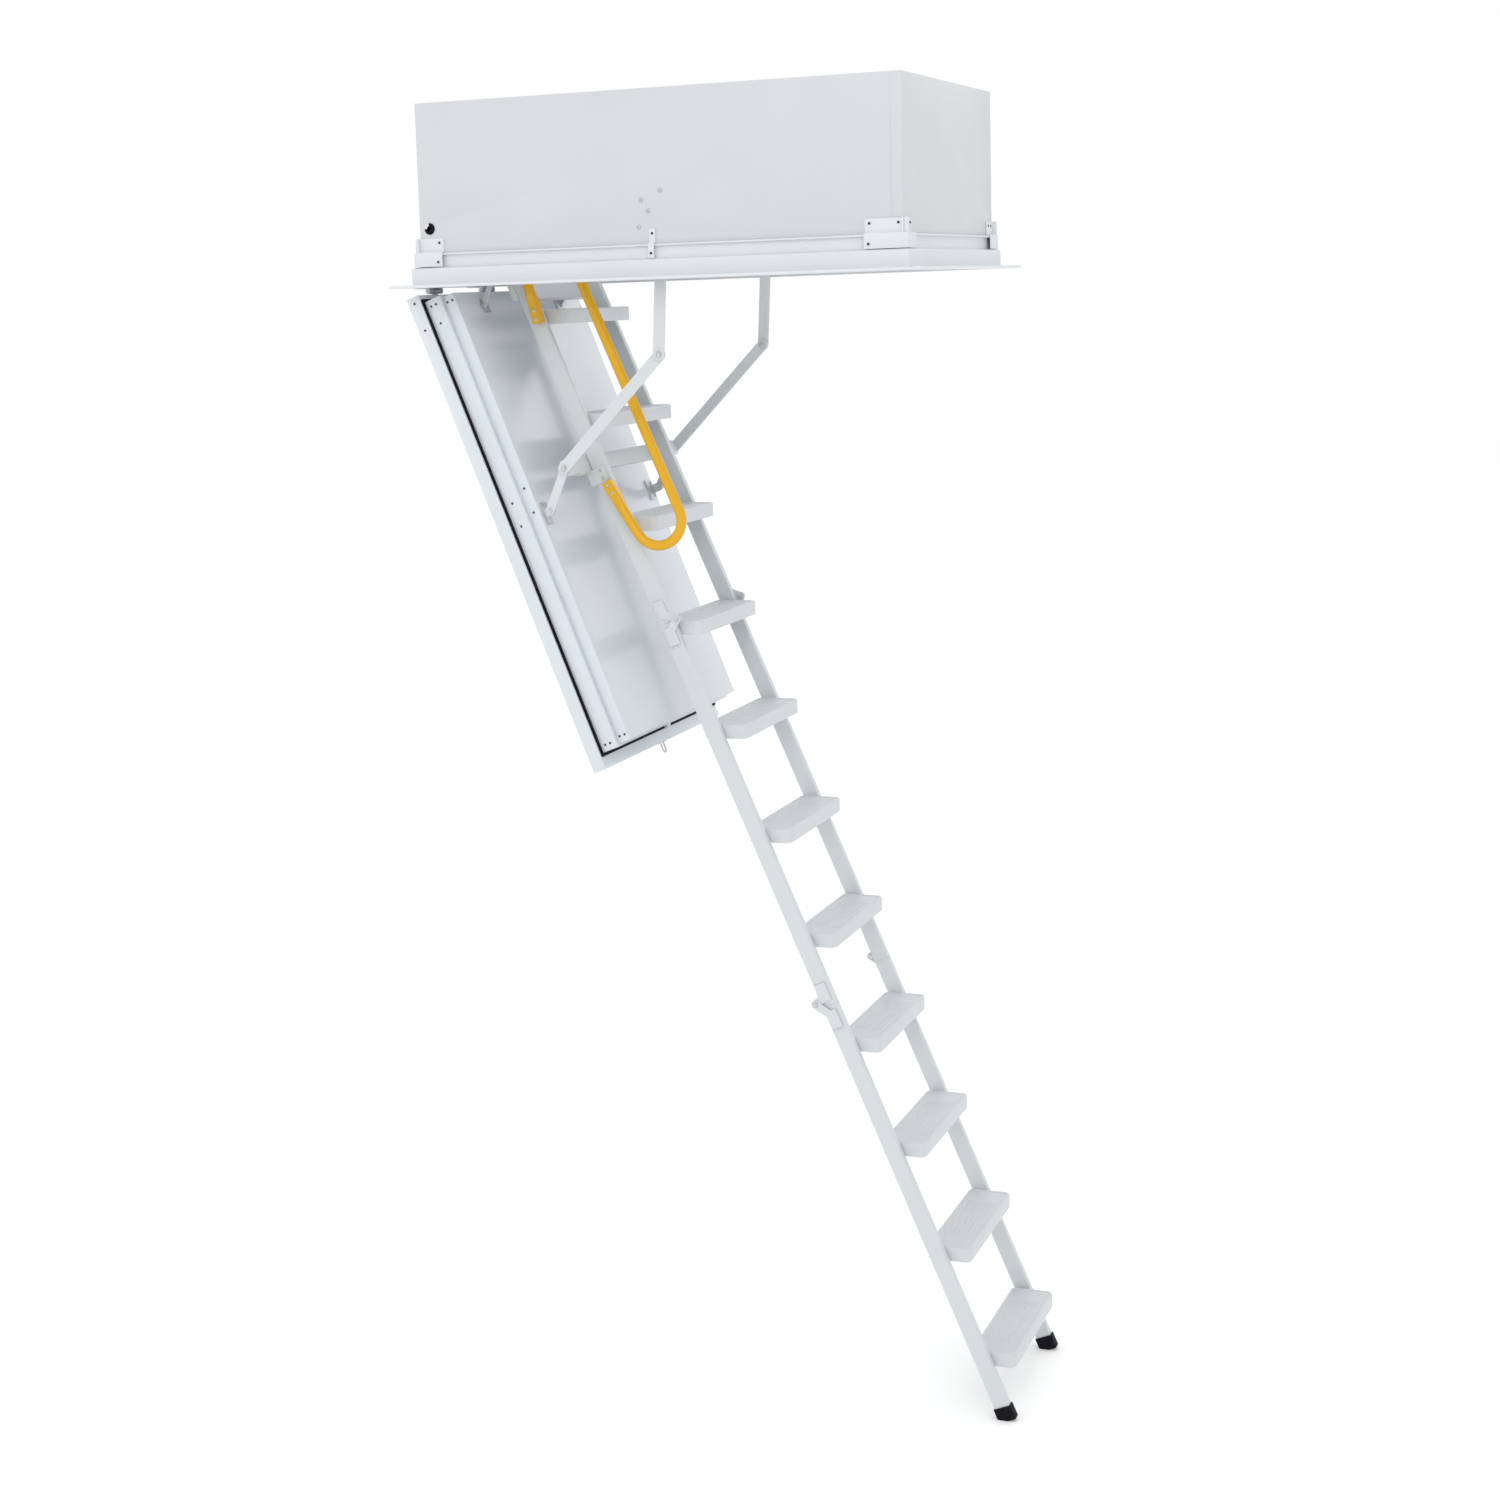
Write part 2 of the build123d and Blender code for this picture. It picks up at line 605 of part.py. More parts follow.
def link_bracket(side, back, inner_y, width):
    """Foot plate on the hatch with one ear for a link."""
    x, z = link_root(back)
    local = (HATCH.inverse() * Pos(x, 0, z)).position
    u = local.X
    n = local.Z
    y = (side * (inner_y - GAP - EAR_THICKNESS), side * (inner_y - GAP))
    base = UPPER_TRAY_TOP
    half = width + LINK_FOOT_MARGIN
    foot_y = (side * (inner_y - LINK_FOOT_REACH), y[1])
    foot = block((u - half, u + half), foot_y, (base, base + LINK_FOOT))
    ear = block((u - width, u + width), y, (base, base + 2 * LINK_FOOT))
    ear += block((u - width / 2, u + width / 2), y, (base, n))
    ear += rod(u, n, *y, width / 2)
    return HATCH * (foot + ear - rod(u, n, y[0] - side, y[1] + side, BOLT_R))


def link_brackets():
    return group(link_bracket(side, *place) for place in LINKS for side in SIDES)


def link_bracket_pins():
    """Shoulder pins that the links turn on, with heads outside the links."""
    pins = []
    for back, inner_y, _ in LINKS:
        x, z = link_root(back)
        end = inner_y + LINK_THICKNESS + PIN_HEAD
        for side in SIDES:
            pin = rod(x, z, side * (inner_y - GAP - EAR_THICKNESS), side * end, BOLT_R)
            pins.append(pin + rod(x, z, side * (end - PIN_HEAD + GAP), side * end, PIN_HEAD_R))
    return group(pins)


def latch_slot(spare):
    """The latch bolt's cross-section as (y span, n span), grown by a spare amount."""
    y = (-LATCH_WIDTH / 2 - spare, LATCH_WIDTH / 2 + spare)
    return y, (LATCH_N - LATCH_HEIGHT / 2 - spare, LATCH_N + LATCH_HEIGHT / 2 + spare)


def latch_housing():
    """Case let into the lower tray, behind its free end."""
    end = LOWER_TRAY_END - TRAY_SHEET
    body = block((end - LATCH_CASE, end), (-LATCH_CASE_HALF, LATCH_CASE_HALF), LATCH_CASE_N)
    body = fillet(body.edges().filter_by(Axis.X), LATCH_WALL)
    return HATCH * (body - block((end - LATCH_CASE + LATCH_WALL, end + GAP), *latch_slot(GAP)))


def latch_bolt():
    """Spring bolt with a sloping nose."""
    end = LOWER_TRAY_END + LATCH_THROW
    bolt = block((end - LATCH_BOLT, end), *latch_slot(0))
    run, drop = LATCH_NOSE_CUT
    cut = Rot(0, LATCH_NOSE_SLOPE, 0) * Box(run, 2 * LATCH_WIDTH, drop)
    return HATCH * (bolt - Pos(end, 0, LATCH_N + LATCH_HEIGHT / 2) * cut)


def latch_strike():
    """Angle inside the free end wall that the latch bolt rests on."""
    wall = HALF_LENGTH - SHEET
    width = (-STRIKE_HALF, STRIKE_HALF)
    low = STRIKE_Z[0]
    plate = block((wall - STRIKE_SHEET, wall), width, STRIKE_Z)
    return plate + block((wall - STRIKE_SHELF, wall), width, (low, low + STRIKE_SHEET))


def pull_eye():
    """Hook eye at the free end of the leaf."""
    n_span = (EYE_N - EYE_HEIGHT, EYE_N + EYE_HEIGHT)
    base = block((LEAF_LENGTH, LEAF_LENGTH + EYE_BASE), (-EYE_BASE_HALF, EYE_BASE_HALF), n_span)
    leg = 2 * EYE_R
    centre = Pos(LEAF_LENGTH + leg, 0, EYE_N)
    eye = (centre * Torus(EYE_R, EYE_WIRE)) & block((LEAF_LENGTH + leg, FAR), (-FAR, FAR), (-FAR, FAR))
    for y in (-EYE_R, EYE_R):
        eye += centre * Pos(-leg / 2, y, 0) * Rot(0, 90, 0) * Cylinder(EYE_WIRE, leg)
    return HATCH * (base + eye)


# ------------------------------------------------------------------ links and arms
def link(side, back, inner_y, width):
    start = link_root(back)
    end = link_end(back)
    bores = [(*start, BOLT_R + RUNNING), (*end, BOLT_R + RUNNING)]
    return strap(start, end, width, side * inner_y, side * (inner_y + LINK_THICKNESS), bores)


def links(place):
    return both(lambda side: link(side, *place))


def upper_arm(side):
    bores = [(*ARM_PIVOT, BOLT_R + RUNNING), (*ARM_ELBOW, BOLT_R)]
    return strap(ARM_PIVOT, ARM_ELBOW, ARM_WIDTH, side * UPPER_ARM_INNER, side * UPPER_ARM_OUTER, bores)


def lower_arm(side):
    end = link_end(0)
    bores = [(*ARM_ELBOW, BOLT_R + RUNNING), (*end, BOLT_R)]
    return strap(ARM_ELBOW, end, ARM_WIDTH, side * LOWER_ARM_INNER, side * LOWER_ARM_OUTER, bores)


def elbow_bolt(side):
    x, z = ARM_ELBOW
    tip = side * (LOWER_ARM_INNER - GAP - NUT_HEIGHT)
    head = side * (UPPER_ARM_OUTER + NUT_HEIGHT)
    shank = rod(x, z, tip, side * UPPER_ARM_OUTER, BOLT_R)
    nut = hexagon(x, z, side * (LOWER_ARM_INNER - GAP), tip, NUT_ACROSS)
    return shank + nut + hexagon(x, z, side * UPPER_ARM_OUTER, head, NUT_ACROSS)


def arm_end_bolt(side):
    """Bolt at the lower arm's ladder end; its pivot is left open beside the link pin."""
    x, z = link_end(0)
    shank = rod(x, z, side * LOWER_ARM_INNER, side * LOWER_ARM_OUTER, BOLT_R)
    return shank + hexagon(x, z, side * LOWER_ARM_OUTER, side * (LOWER_ARM_OUTER + NUT_HEIGHT), NUT_ACROSS)


# ------------------------------------------------------------------ ladder
def stringer(side, s0, s1):
    y = (side * STRINGER_INNER, side * STRINGER_OUTER)
    wall = STRINGER_WALL
    tube = block((s0, s1), y, (-HALF_DEPTH, HALF_DEPTH))
    tube = fillet(tube.edges().filter_by(Axis.X), STRINGER_CORNER)
    hollow = (side * (STRINGER_INNER + wall), side * (STRINGER_OUTER - wall))
    return LADDER * (tube - block((s0 - 1, s1 + 1), hollow, (-HALF_DEPTH + wall, HALF_DEPTH - wall)))


def tread(number):
    """Pressed tread, level in use: raised rim, open underneath, with a tab at each end."""
    x, z = to_xz(LADDER, (number - 1) * PITCH, 0)
    front = x + STRINGER_DEPTH / 2 / sin(radians(LADDER_ANGLE)) + TREAD_OVERHANG
    half_y = STRINGER_INNER - TREAD_END_GAP
    low = z - TREAD_THICKNESS / 2
    high = z + TREAD_THICKNESS / 2

    def slab(inset, floor, top):
        x_span = (front - TREAD_DEPTH + inset, front - inset)
        plan = block(x_span, (-half_y + inset, half_y - inset), (floor, top))
        return fillet(plan.edges().filter_by(Axis.Z), TREAD_CORNER - inset)

    body = slab(0, low, high)
    body -= slab(TREAD_SKIN, low - 1, high - TREAD_RECESS - TREAD_SKIN)
    body -= slab(TREAD_RIM, high - TREAD_RECESS, high + 1)
    for side in SIDES:
        y_span = (side * (half_y - TREAD_SKIN), side * STRINGER_INNER)
        z_span = (low + TREAD_SKIN, high - TREAD_RECESS - TREAD_SKIN)
        body += block((x - TREAD_TAB, x + TREAD_TAB), y_span, z_span)
    return body


def channel(middle_s, half, back, solid_end):
    """Channel across the ladder's back, open behind, with a block in each end."""
    front = back + CROSSBAR_THICKNESS
    inside = CROSSBAR_WIDTH / 2 - CROSSBAR_SHEET
    bar = block((middle_s - CROSSBAR_WIDTH / 2, middle_s + CROSSBAR_WIDTH / 2), (-half, half), (back, front))
    hollow = half - solid_end
    return bar - block(
        (middle_s - inside, middle_s + inside), (-hollow, hollow), (back - GAP, front - CROSSBAR_SHEET)
    )


def tie_bar():
    """Plain bar across the stringers' backs, above the first tread that shows."""
    return LADDER * channel(TIE_BAR_S, STRINGER_OUTER, -HALF_DEPTH - CROSSBAR_THICKNESS, CROSSBAR_SHEET)


def crossbar(end_s, half):
    """Bar behind the stringers, bored at its ends for the link pins."""
    bar = channel(end_s, half, LINK_END_N - CROSSBAR_THICKNESS / 2, CROSSBAR_PIN_DEPTH + CROSSBAR_SHEET)
    for side in SIDES:
        bar -= rod(end_s, LINK_END_N, side * (half - CROSSBAR_PIN_DEPTH), side * (half + 1), BOLT_R)
    return LADDER * bar


def crossbars():
    lower = crossbar(LINK_END_S, LOWER_CROSSBAR_HALF)
    upper = crossbar(LINK_END_S - LINK_SPACING, UPPER_CROSSBAR_HALF)
    return group([lower, upper, tie_bar()])


def crossbar_gusset(side):
    """Angle that ties the lower crossbar to the outside of a stringer."""
    s0 = LINK_END_S + CROSSBAR_WIDTH / 2
    n0 = LINK_END_N - CROSSBAR_THICKNESS / 2
    along = (side * STRINGER_OUTER, side * (STRINGER_OUTER + GUSSET_SHEET))
    plate = block((s0, s0 + GUSSET_LENGTH), along, (n0, GUSSET_FRONT))
    outward = (side * STRINGER_OUTER, side * (STRINGER_OUTER + GUSSET_REACH))
    flange = block((s0, s0 + GUSSET_SHEET), outward, (n0, -HALF_DEPTH - GAP))
    return LADDER * (plate + flange)


def link_pins():
    """Pins in the crossbar ends that the links turn on."""
    pins = []
    for back, inner_y, _ in LINKS:
        x, z = link_end(back)
        for side in SIDES:
            start = side * (inner_y - GAP - CROSSBAR_PIN_DEPTH)
            pins.append(rod(x, z, start, side * (inner_y + LINK_THICKNESS + LINK_PIN_PROUD), BOLT_R))
    return group(pins)


def handrail_path(end):
    """Centre line of half the hoop: from mid run, round one bend, to the stringer."""
    middle = (RAIL_FIRST_BEND_S + RAIL_LAST_BEND_S) / 2
    bend_s = RAIL_LAST_BEND_S if end > 0 else RAIL_FIRST_BEND_S
    turn = radians(180 - RAIL_END_SLOPE)
    centre = (bend_s, RAIL_RUN_N - RAIL_BEND)
    run = Line((middle, RAIL_RUN_N), (bend_s, RAIL_RUN_N))
    def on_arc(angle):
        return (centre[0] + end * RAIL_BEND * sin(angle), centre[1] + RAIL_BEND * cos(angle))
    arc = ThreePointArc((bend_s, RAIL_RUN_N), on_arc(turn / 2), on_arc(turn))
    x, n = on_arc(turn)
    slope = radians(RAIL_END_SLOPE)
    tail = Line((x, n), (x - end * RAIL_END_RUN * cos(slope), n - RAIL_END_RUN * sin(slope)))
    return run, arc, tail


def handrail():
    """Tube hoop beside the near stringer, pressed flat where it is screwed on."""
    plane = Plane((0, RAIL_Y, 0), x_dir=(1, 0, 0), z_dir=(0, -1, 0))
    hoop = None
    flats = []
    for end in SIDES:
        run, arc, tail = handrail_path(end)
        path = plane * Wire([run, arc, tail])
        start = path @ 0
        section = Plane(start, z_dir=path % 0) * Circle(RAIL_TUBE_R)
        tube = sweep(section, path=path)
        hoop = tube if hoop is None else hoop + tube
        last = tail @ 1
        depth = -RAIL_Y + RAIL_FLAT_OUTER - STRINGER_OUTER
        flat = Box(RAIL_FLAT_LENGTH, depth, 2 * RAIL_TUBE_R)
        place = Pos(last.X, -(STRINGER_OUTER + depth / 2), last.Y) * Rot(0, -RAIL_END_SLOPE * end, 0)
        flats.append(place * Pos(-end * (RAIL_FLAT_LENGTH / 2 - RAIL_FLAT_CORNER), 0, 0) * flat)
    for flat in flats:
        hoop += fillet(flat.edges().filter_by(Axis.Y), RAIL_FLAT_CORNER)
    return LADDER * hoop


def ladder_screws():
    """Screw heads on the handrail ends and the crossbar gussets."""
    screws = []
    for end in SIDES:
        _, _, tail = handrail_path(end)
        last = tail @ 1
        slope = radians(RAIL_END_SLOPE)
        for along in RAIL_SCREWS:
            s = last.X - end * along * cos(slope)
            n = last.Y - along * sin(slope)
            screws.append(screw_on_side(s, n, RAIL_FLAT_OUTER - RAIL_Y, -1, LADDER_SCREW))
    for side in SIDES:
        for along in (GUSSET_SCREW_EDGE, GUSSET_LENGTH - GUSSET_SCREW_EDGE):
            s = LINK_END_S + CROSSBAR_WIDTH / 2 + along
            screws.append(screw_on_side(s, 0, STRINGER_OUTER + GUSSET_SHEET, side, LADDER_SCREW))
    return LADDER * group(screws)


def fold_leaf(side, pivot_s, side_n, toward, layer):
    """Side plate of a fold hinge: screwed to a stringer, with an ear round the pin.

    side_n is +1 for a pin on the climbing side and -1 behind; toward is the way along the
    ladder that the plate runs; layer 0 lies on the stringer and layer 1 over layer 0.
    """
    pivot_n = side_n * (HALF_DEPTH + FOLD_OFFSET)
    split = pivot_s if side_n > 0 else pivot_s + FOLD_B_SPLIT
    y0 = STRINGER_OUTER + GAP + layer * (FOLD_LEAF + GAP)
    y = (side * y0, side * (y0 + FOLD_LEAF))
    near = split + toward * FOLD_PLATE_START
    far = near + toward * FOLD_PLATE_LENGTH
    n_span = (-side_n * FOLD_PLATE_BACK, side_n * FOLD_PLATE_FRONT)
    root = (near + toward * FOLD_EAR_R, side_n * (FOLD_PLATE_FRONT - FOLD_EAR_R))
    solid = block((near, far), y, n_span) + strap(root, (pivot_s, pivot_n), 2 * FOLD_EAR_R, *y)
    if layer:
        solid += block((near + toward * FOLD_PAD_START, far), (side * STRINGER_OUTER, side * y0), n_span)
    bore = FOLD_PIN_R + (RUNNING if layer else 0)
    return LADDER * (solid - rod(pivot_s, pivot_n, y[0] - side, y[1] + side, bore))


def fold_pin(side, pivot_s, side_n):
    pivot_n = side_n * (HALF_DEPTH + FOLD_OFFSET)
    inner = STRINGER_OUTER + GAP
    outer = inner + 2 * FOLD_LEAF + 2 * GAP
    start = side * (inner - FOLD_SHANK_END)
    end = side * (outer + FOLD_HEAD)
    pin = rod(pivot_s, pivot_n, start, end, FOLD_PIN_R)
    pin += rod(pivot_s, pivot_n, start, side * inner, FOLD_HEAD_R)
    pin += rod(pivot_s, pivot_n, side * outer, end, FOLD_HEAD_R)
    return LADDER * pin


def foot(side):
    """Plastic cap that closes a stringer's lower end, cut level behind and square in front."""
    y = (side * (STRINGER_INNER - FOOT_WALL), side * (STRINGER_OUTER + FOOT_WALL))
    n = (-HALF_DEPTH - FOOT_WALL, HALF_DEPTH + FOOT_WALL)
    start = LADDER_END - FOOT_LENGTH
    socket_y = (side * STRINGER_INNER, side * STRINGER_OUTER)
    cap = block((start, LADDER_END), y, n)
    cap -= block((start - 1, LADDER_END - FOOT_SOLE), socket_y, (-HALF_DEPTH, HALF_DEPTH))
    floor_z = to_xz(LADDER, LADDER_END, 0)[1]
    return (LADDER * cap) & block((-FAR, FAR), (-FAR, FAR), (floor_z, FAR))


def main():
    os.makedirs("parts", exist_ok=True)
    save(side_panel(-1), "near_side_panel")
    save(side_panel(1), "far_side_panel")
    save(end_panel(-1), "hinge_end_panel")
    save(end_panel(1), "free_end_panel")
    save(base_rails(HALF_LENGTH, HALF_WIDTH, (0, 180)), "long_base_rails")
    save(base_rails(HALF_WIDTH, HALF_LENGTH, (90, -90)), "end_base_rails")
    save(rail_brackets(), "rail_brackets")
    save(frame_screws(), "frame_screws")
    save(both(fixing_grommet), "fixing_grommets")
    save(both(arm_bracket), "arm_brackets")
    save(arm_bracket_bolts(), "arm_bracket_bolts")
    save(group(frame_hinge(y) for y in HINGE_PLACES), "frame_hinge_leaves")
    save(group(hinge_pin(y) for y in HINGE_PLACES), "hinge_pins")
    save(latch_strike(), "latch_strike")

    save(hatch_outer_leaf(), "hatch_outer_leaf")
    save(hatch_seal(), "hatch_seal")
    save(lower_tray(), "lower_tray")
    save(upper_tray(), "upper_tray")
    save(hatch_screws(), "hatch_screws")
    save(group(hatch_hinge(y) for y in HINGE_PLACES), "hatch_hinge_leaves")
    save(link_brackets(), "link_brackets")
    save(link_bracket_pins(), "link_bracket_pins")
    save(latch_housing(), "latch_housing")
    save(latch_bolt(), "latch_bolt")
    save(pull_eye(), "pull_eye")

    save(links(LINKS[0]), "lower_links")
    save(links(LINKS[1]), "upper_links")
    save(both(upper_arm), "upper_arms")
    save(both(lower_arm), "lower_arms")
    save(both(elbow_bolt), "elbow_bolts")
    save(both(arm_end_bolt), "arm_end_bolts")

    split = FOLD_B_S + FOLD_B_SPLIT
    sections = (
        ("upper", UPPER_START, FOLD_A_S - GAP / 2, TREADS_UPPER),
        ("middle", FOLD_A_S + GAP / 2, split - GAP / 2, TREADS_MIDDLE),
        ("lower", split + GAP / 2, LADDER_END - FOOT_SOLE, TREADS_LOWER),
    )
    for name, start, end, treads in sections:
        save(stringer(-1, start, end), f"{name}_near_stringer")
        save(stringer(1, start, end), f"{name}_far_stringer")
        for number in treads:
            save(tread(number), f"tread_{number:02d}")
    save(crossbars(), "crossbars")
    save(both(crossbar_gusset), "crossbar_gussets")
    save(link_pins(), "link_pins")
    save(handrail(), "handrail")
    save(ladder_screws(), "ladder_screws")
    save(both(lambda side: fold_leaf(side, FOLD_A_S, 1, -1, 0)), "upper_fold_leaves")
    save(both(lambda side: fold_pin(side, FOLD_A_S, 1)), "upper_fold_pins")
    middle_leaves = [fold_leaf(side, FOLD_A_S, 1, 1, 1) for side in SIDES]
    middle_leaves += [fold_leaf(side, FOLD_B_S, -1, -1, 0) for side in SIDES]
    save(group(middle_leaves), "middle_fold_leaves")
    save(both(lambda side: fold_pin(side, FOLD_B_S, -1)), "lower_fold_pins")
    save(both(lambda side: fold_leaf(side, FOLD_B_S, -1, 1, 1)), "lower_fold_leaves")
    save(both(foot), "feet")


main()
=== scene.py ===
import json
import logging
import math
from dataclasses import dataclass
from enum import Enum
from typing import Any, Iterable, Sequence

import bmesh
import bpy
from mathutils import Matrix, Vector


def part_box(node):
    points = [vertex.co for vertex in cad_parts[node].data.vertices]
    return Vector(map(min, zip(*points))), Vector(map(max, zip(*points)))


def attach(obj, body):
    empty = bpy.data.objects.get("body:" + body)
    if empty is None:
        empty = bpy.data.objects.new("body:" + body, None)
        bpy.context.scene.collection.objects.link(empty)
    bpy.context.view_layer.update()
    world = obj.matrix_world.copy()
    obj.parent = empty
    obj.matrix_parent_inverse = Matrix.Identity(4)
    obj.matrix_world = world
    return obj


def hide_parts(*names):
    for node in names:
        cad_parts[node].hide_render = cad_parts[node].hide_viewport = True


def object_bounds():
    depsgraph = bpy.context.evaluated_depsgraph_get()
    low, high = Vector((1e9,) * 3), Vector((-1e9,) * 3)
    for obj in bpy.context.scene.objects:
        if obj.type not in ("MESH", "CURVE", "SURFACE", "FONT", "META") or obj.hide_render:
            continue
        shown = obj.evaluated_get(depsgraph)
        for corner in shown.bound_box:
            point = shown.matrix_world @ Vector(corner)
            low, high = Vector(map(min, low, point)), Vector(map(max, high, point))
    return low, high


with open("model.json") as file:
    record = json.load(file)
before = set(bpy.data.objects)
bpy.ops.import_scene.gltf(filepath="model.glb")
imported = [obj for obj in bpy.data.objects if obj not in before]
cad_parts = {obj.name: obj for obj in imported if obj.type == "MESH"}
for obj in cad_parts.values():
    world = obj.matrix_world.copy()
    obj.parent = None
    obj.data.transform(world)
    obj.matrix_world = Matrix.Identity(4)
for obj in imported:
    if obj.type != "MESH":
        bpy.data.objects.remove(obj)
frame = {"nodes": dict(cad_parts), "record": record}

LOG = logging.getLogger("attic_ladder")
CAD_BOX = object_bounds()
MM = 0.001
MERGE_DISTANCE = 2e-6
FLAT_ANGLE = 0.5
SHARP_ANGLE = 35
SMOOTH_ANGLE = 32.0
TURNED_SMOOTH_ANGLE = 40.0
BEVEL_PROFILE = 0.6
BUMP_STRENGTH = 0.6
SIDES = (-1, 1)


# ---------------------------------------------------------------- shader maths
class Wire:
    """A node socket that Python's operators can work on."""

    def __init__(self, tree: "Recipe", socket: Any) -> None:
        """Wraps one output socket of a material's node tree."""
        self.tree = tree
        self.socket = socket

    def _math(self, operation: str, first: Any, second: Any) -> "Wire":
        """Adds a Math node.

        Args:
            operation: the Math node's operation.
            first: its first value, a Wire or a number.
            second: its second value, a Wire or a number.

        Returns:
            The node's result.
        """
        return self.tree.node("ShaderNodeMath", {"operation": operation}, {0: first, 1: second})

    def __add__(self, other: Any) -> "Wire":
        """Sum."""
        return self._math("ADD", self, other)

    __radd__ = __add__

    def __sub__(self, other: Any) -> "Wire":
        """Difference."""
        return self._math("SUBTRACT", self, other)

    def __rsub__(self, other: Any) -> "Wire":
        """Difference, reflected."""
        return self._math("SUBTRACT", other, self)

    def __mul__(self, other: Any) -> "Wire":
        """Product."""
        return self._math("MULTIPLY", self, other)

    __rmul__ = __mul__


class Recipe:
    """A material's node tree, with one method that makes any node."""

    def __init__(self, name: str) -> None:
        """Starts a material with one Principled shader.

        Args:
            name: the material's name.
        """
        self.material = bpy.data.materials.new(name)
        self.material.use_nodes = True
        self.nodes = self.material.node_tree.nodes
        self.links = self.material.node_tree.links
        self.shader = self.nodes["Principled BSDF"]

    def node(self, kind: str, settings: dict, inputs: dict, output: Any = 0) -> Wire:
        """Makes a node.

        Args:
            kind: the node's type name.
            settings: properties set first; "stops" fills a colour ramp.
            inputs: socket name or number to a value or a Wire.
            output: name or number of the socket returned.

        Returns:
            The chosen output.
        """
        made = self.nodes.new(kind)
        for name, value in settings.items():
            if name == "stops":
                for element, (place, colour) in zip(self._elements(made, len(value)), value):
                    element.position = place
                    element.color = (*colour, 1.0)
            else:
                setattr(made, name, value)
        for name, value in inputs.items():
            self.feed(made.inputs[name], value)
        return Wire(self, made.outputs[output])

    @staticmethod
    def _elements(ramp: Any, count: int) -> list:
        """A ramp's stops, made up to the count asked for.

        Args:
            ramp: the colour ramp node.
            count: how many stops it needs.

        Returns:
            The stops.
        """
        while len(ramp.color_ramp.elements) < count:
            ramp.color_ramp.elements.new(0.5)
        return list(ramp.color_ramp.elements)

    def feed(self, socket: Any, value: Any) -> None:
        """Links a Wire to a socket, or sets its value.

        Args:
            socket: the input socket.
            value: a Wire, or the socket's own value.
        """
        if isinstance(value, Wire):
            self.links.new(value.socket, socket)
        else:
            socket.default_value = value

    def set(self, **values: Any) -> None:
        """Feeds the shader's sockets, with underscores for spaces."""
        for name, value in values.items():
            self.feed(self.shader.inputs[name.replace("_", " ")], value)

    def place(self) -> Wire:
        """The surface point in the object's own frame, in metres."""
        return self.node("ShaderNodeTexCoord", {}, {}, "Object")

    def noise(self, scale: float, detail: float = 3.0, rough: float = 0.5) -> Wire:
        """Fractal noise from 0 to 1, with scale in features per metre."""
        inputs = {"Vector": self.place(), "Scale": scale, "Detail": detail, "Roughness": rough}
        return self.node("ShaderNodeTexNoise", {}, inputs)

    def shades(
        self, mask: Wire, dark: Sequence[float], light: Sequence[float], span: Sequence[float],
    ) -> Wire:
        """A colour ramp between two colours, over a span of a mask's range.

        Args:
            mask: the value that picks the colour.
            dark: the colour at the span's low end.
            light: the colour at its high end.
            span: the mask's values at both ends.

        Returns:
            The colour.
        """
        low, high = span
        settings = {"stops": [(low, tuple(dark)), (high, tuple(light))]}
        return self.node("ShaderNodeValToRGB", settings, {0: mask})

    def bump(self, height: Wire, depth: float) -> None:
        """Feeds the shader's normal from a height, with its depth in metres."""
        inputs = {"Height": height, "Distance": depth, "Strength": BUMP_STRENGTH}
        self.set(Normal=self.node("ShaderNodeBump", {}, inputs, "Normal"))


# ---------------------------------------------------------------- finishes
def scaled(colour: Sequence[float], factor: float) -> tuple:
    """A colour made lighter or darker."""
    return tuple(min(1.0, part * factor) for part in colour)


@dataclass(frozen=True)
class PowderCoat:
    """Sprayed and baked paint with an orange-peel skin."""

    name: str
    colour: tuple
    roughness: float = 0.38
    peel_scale: float = 420.0
    peel_depth: float = 0.00018
    coat: float = 0.15
    coat_roughness: float = 0.22
    specular: float = 0.5
    cloud_scale: float = 5.0
    cloud_shade: float = 0.965
    cloud_span: tuple = (0.3, 0.7)
    gloss_scale: float = 34.0
    gloss_swing: float = 0.1

    def build(self) -> bpy.types.Material:
        """Makes the material.

        Returns:
            The new material.
        """
        recipe = Recipe(self.name)
        cloud = recipe.noise(self.cloud_scale, detail=4.0)
        dark = scaled(self.colour, self.cloud_shade)
        recipe.set(Base_Color=recipe.shades(cloud, dark, self.colour, self.cloud_span))
        recipe.set(Roughness=self.roughness + (recipe.noise(self.gloss_scale) - 0.5) * self.gloss_swing)
        recipe.set(Coat_Weight=self.coat, Coat_Roughness=self.coat_roughness)
        recipe.set(Specular_IOR_Level=self.specular)
        recipe.bump(recipe.noise(self.peel_scale, detail=2.0), self.peel_depth)
        return recipe.material


@dataclass(frozen=True)
class ZincPlate:
    """Bright zinc with cloudy crystals and fine handling marks."""

    name: str
    colour: tuple = (0.62, 0.63, 0.64)
    crystal_scale: float = 260.0
    cloud_scale: float = 90.0
    cloud_shade: float = 0.72
    cloud_span: tuple = (0.2, 0.65)
    metallic: float = 0.9
    roughness: float = 0.26
    roughness_swing: float = 0.24
    grain_scale: float = 900.0
    grain_depth: float = 0.0001

    def build(self) -> bpy.types.Material:
        """Makes the material.

        Returns:
            The new material.
        """
        recipe = Recipe(self.name)
        inputs = {"Vector": recipe.place(), "Scale": self.crystal_scale}
        crystal = recipe.node("ShaderNodeTexVoronoi", {}, inputs, "Distance")
        cloud = 0.5 * crystal + 0.5 * recipe.noise(self.cloud_scale)
        dark = scaled(self.colour, self.cloud_shade)
        recipe.set(Base_Color=recipe.shades(cloud, dark, self.colour, self.cloud_span))
        recipe.set(Metallic=self.metallic, Roughness=self.roughness + cloud * self.roughness_swing)
        recipe.bump(recipe.noise(self.grain_scale, detail=2.0), self.grain_depth)
        return recipe.material


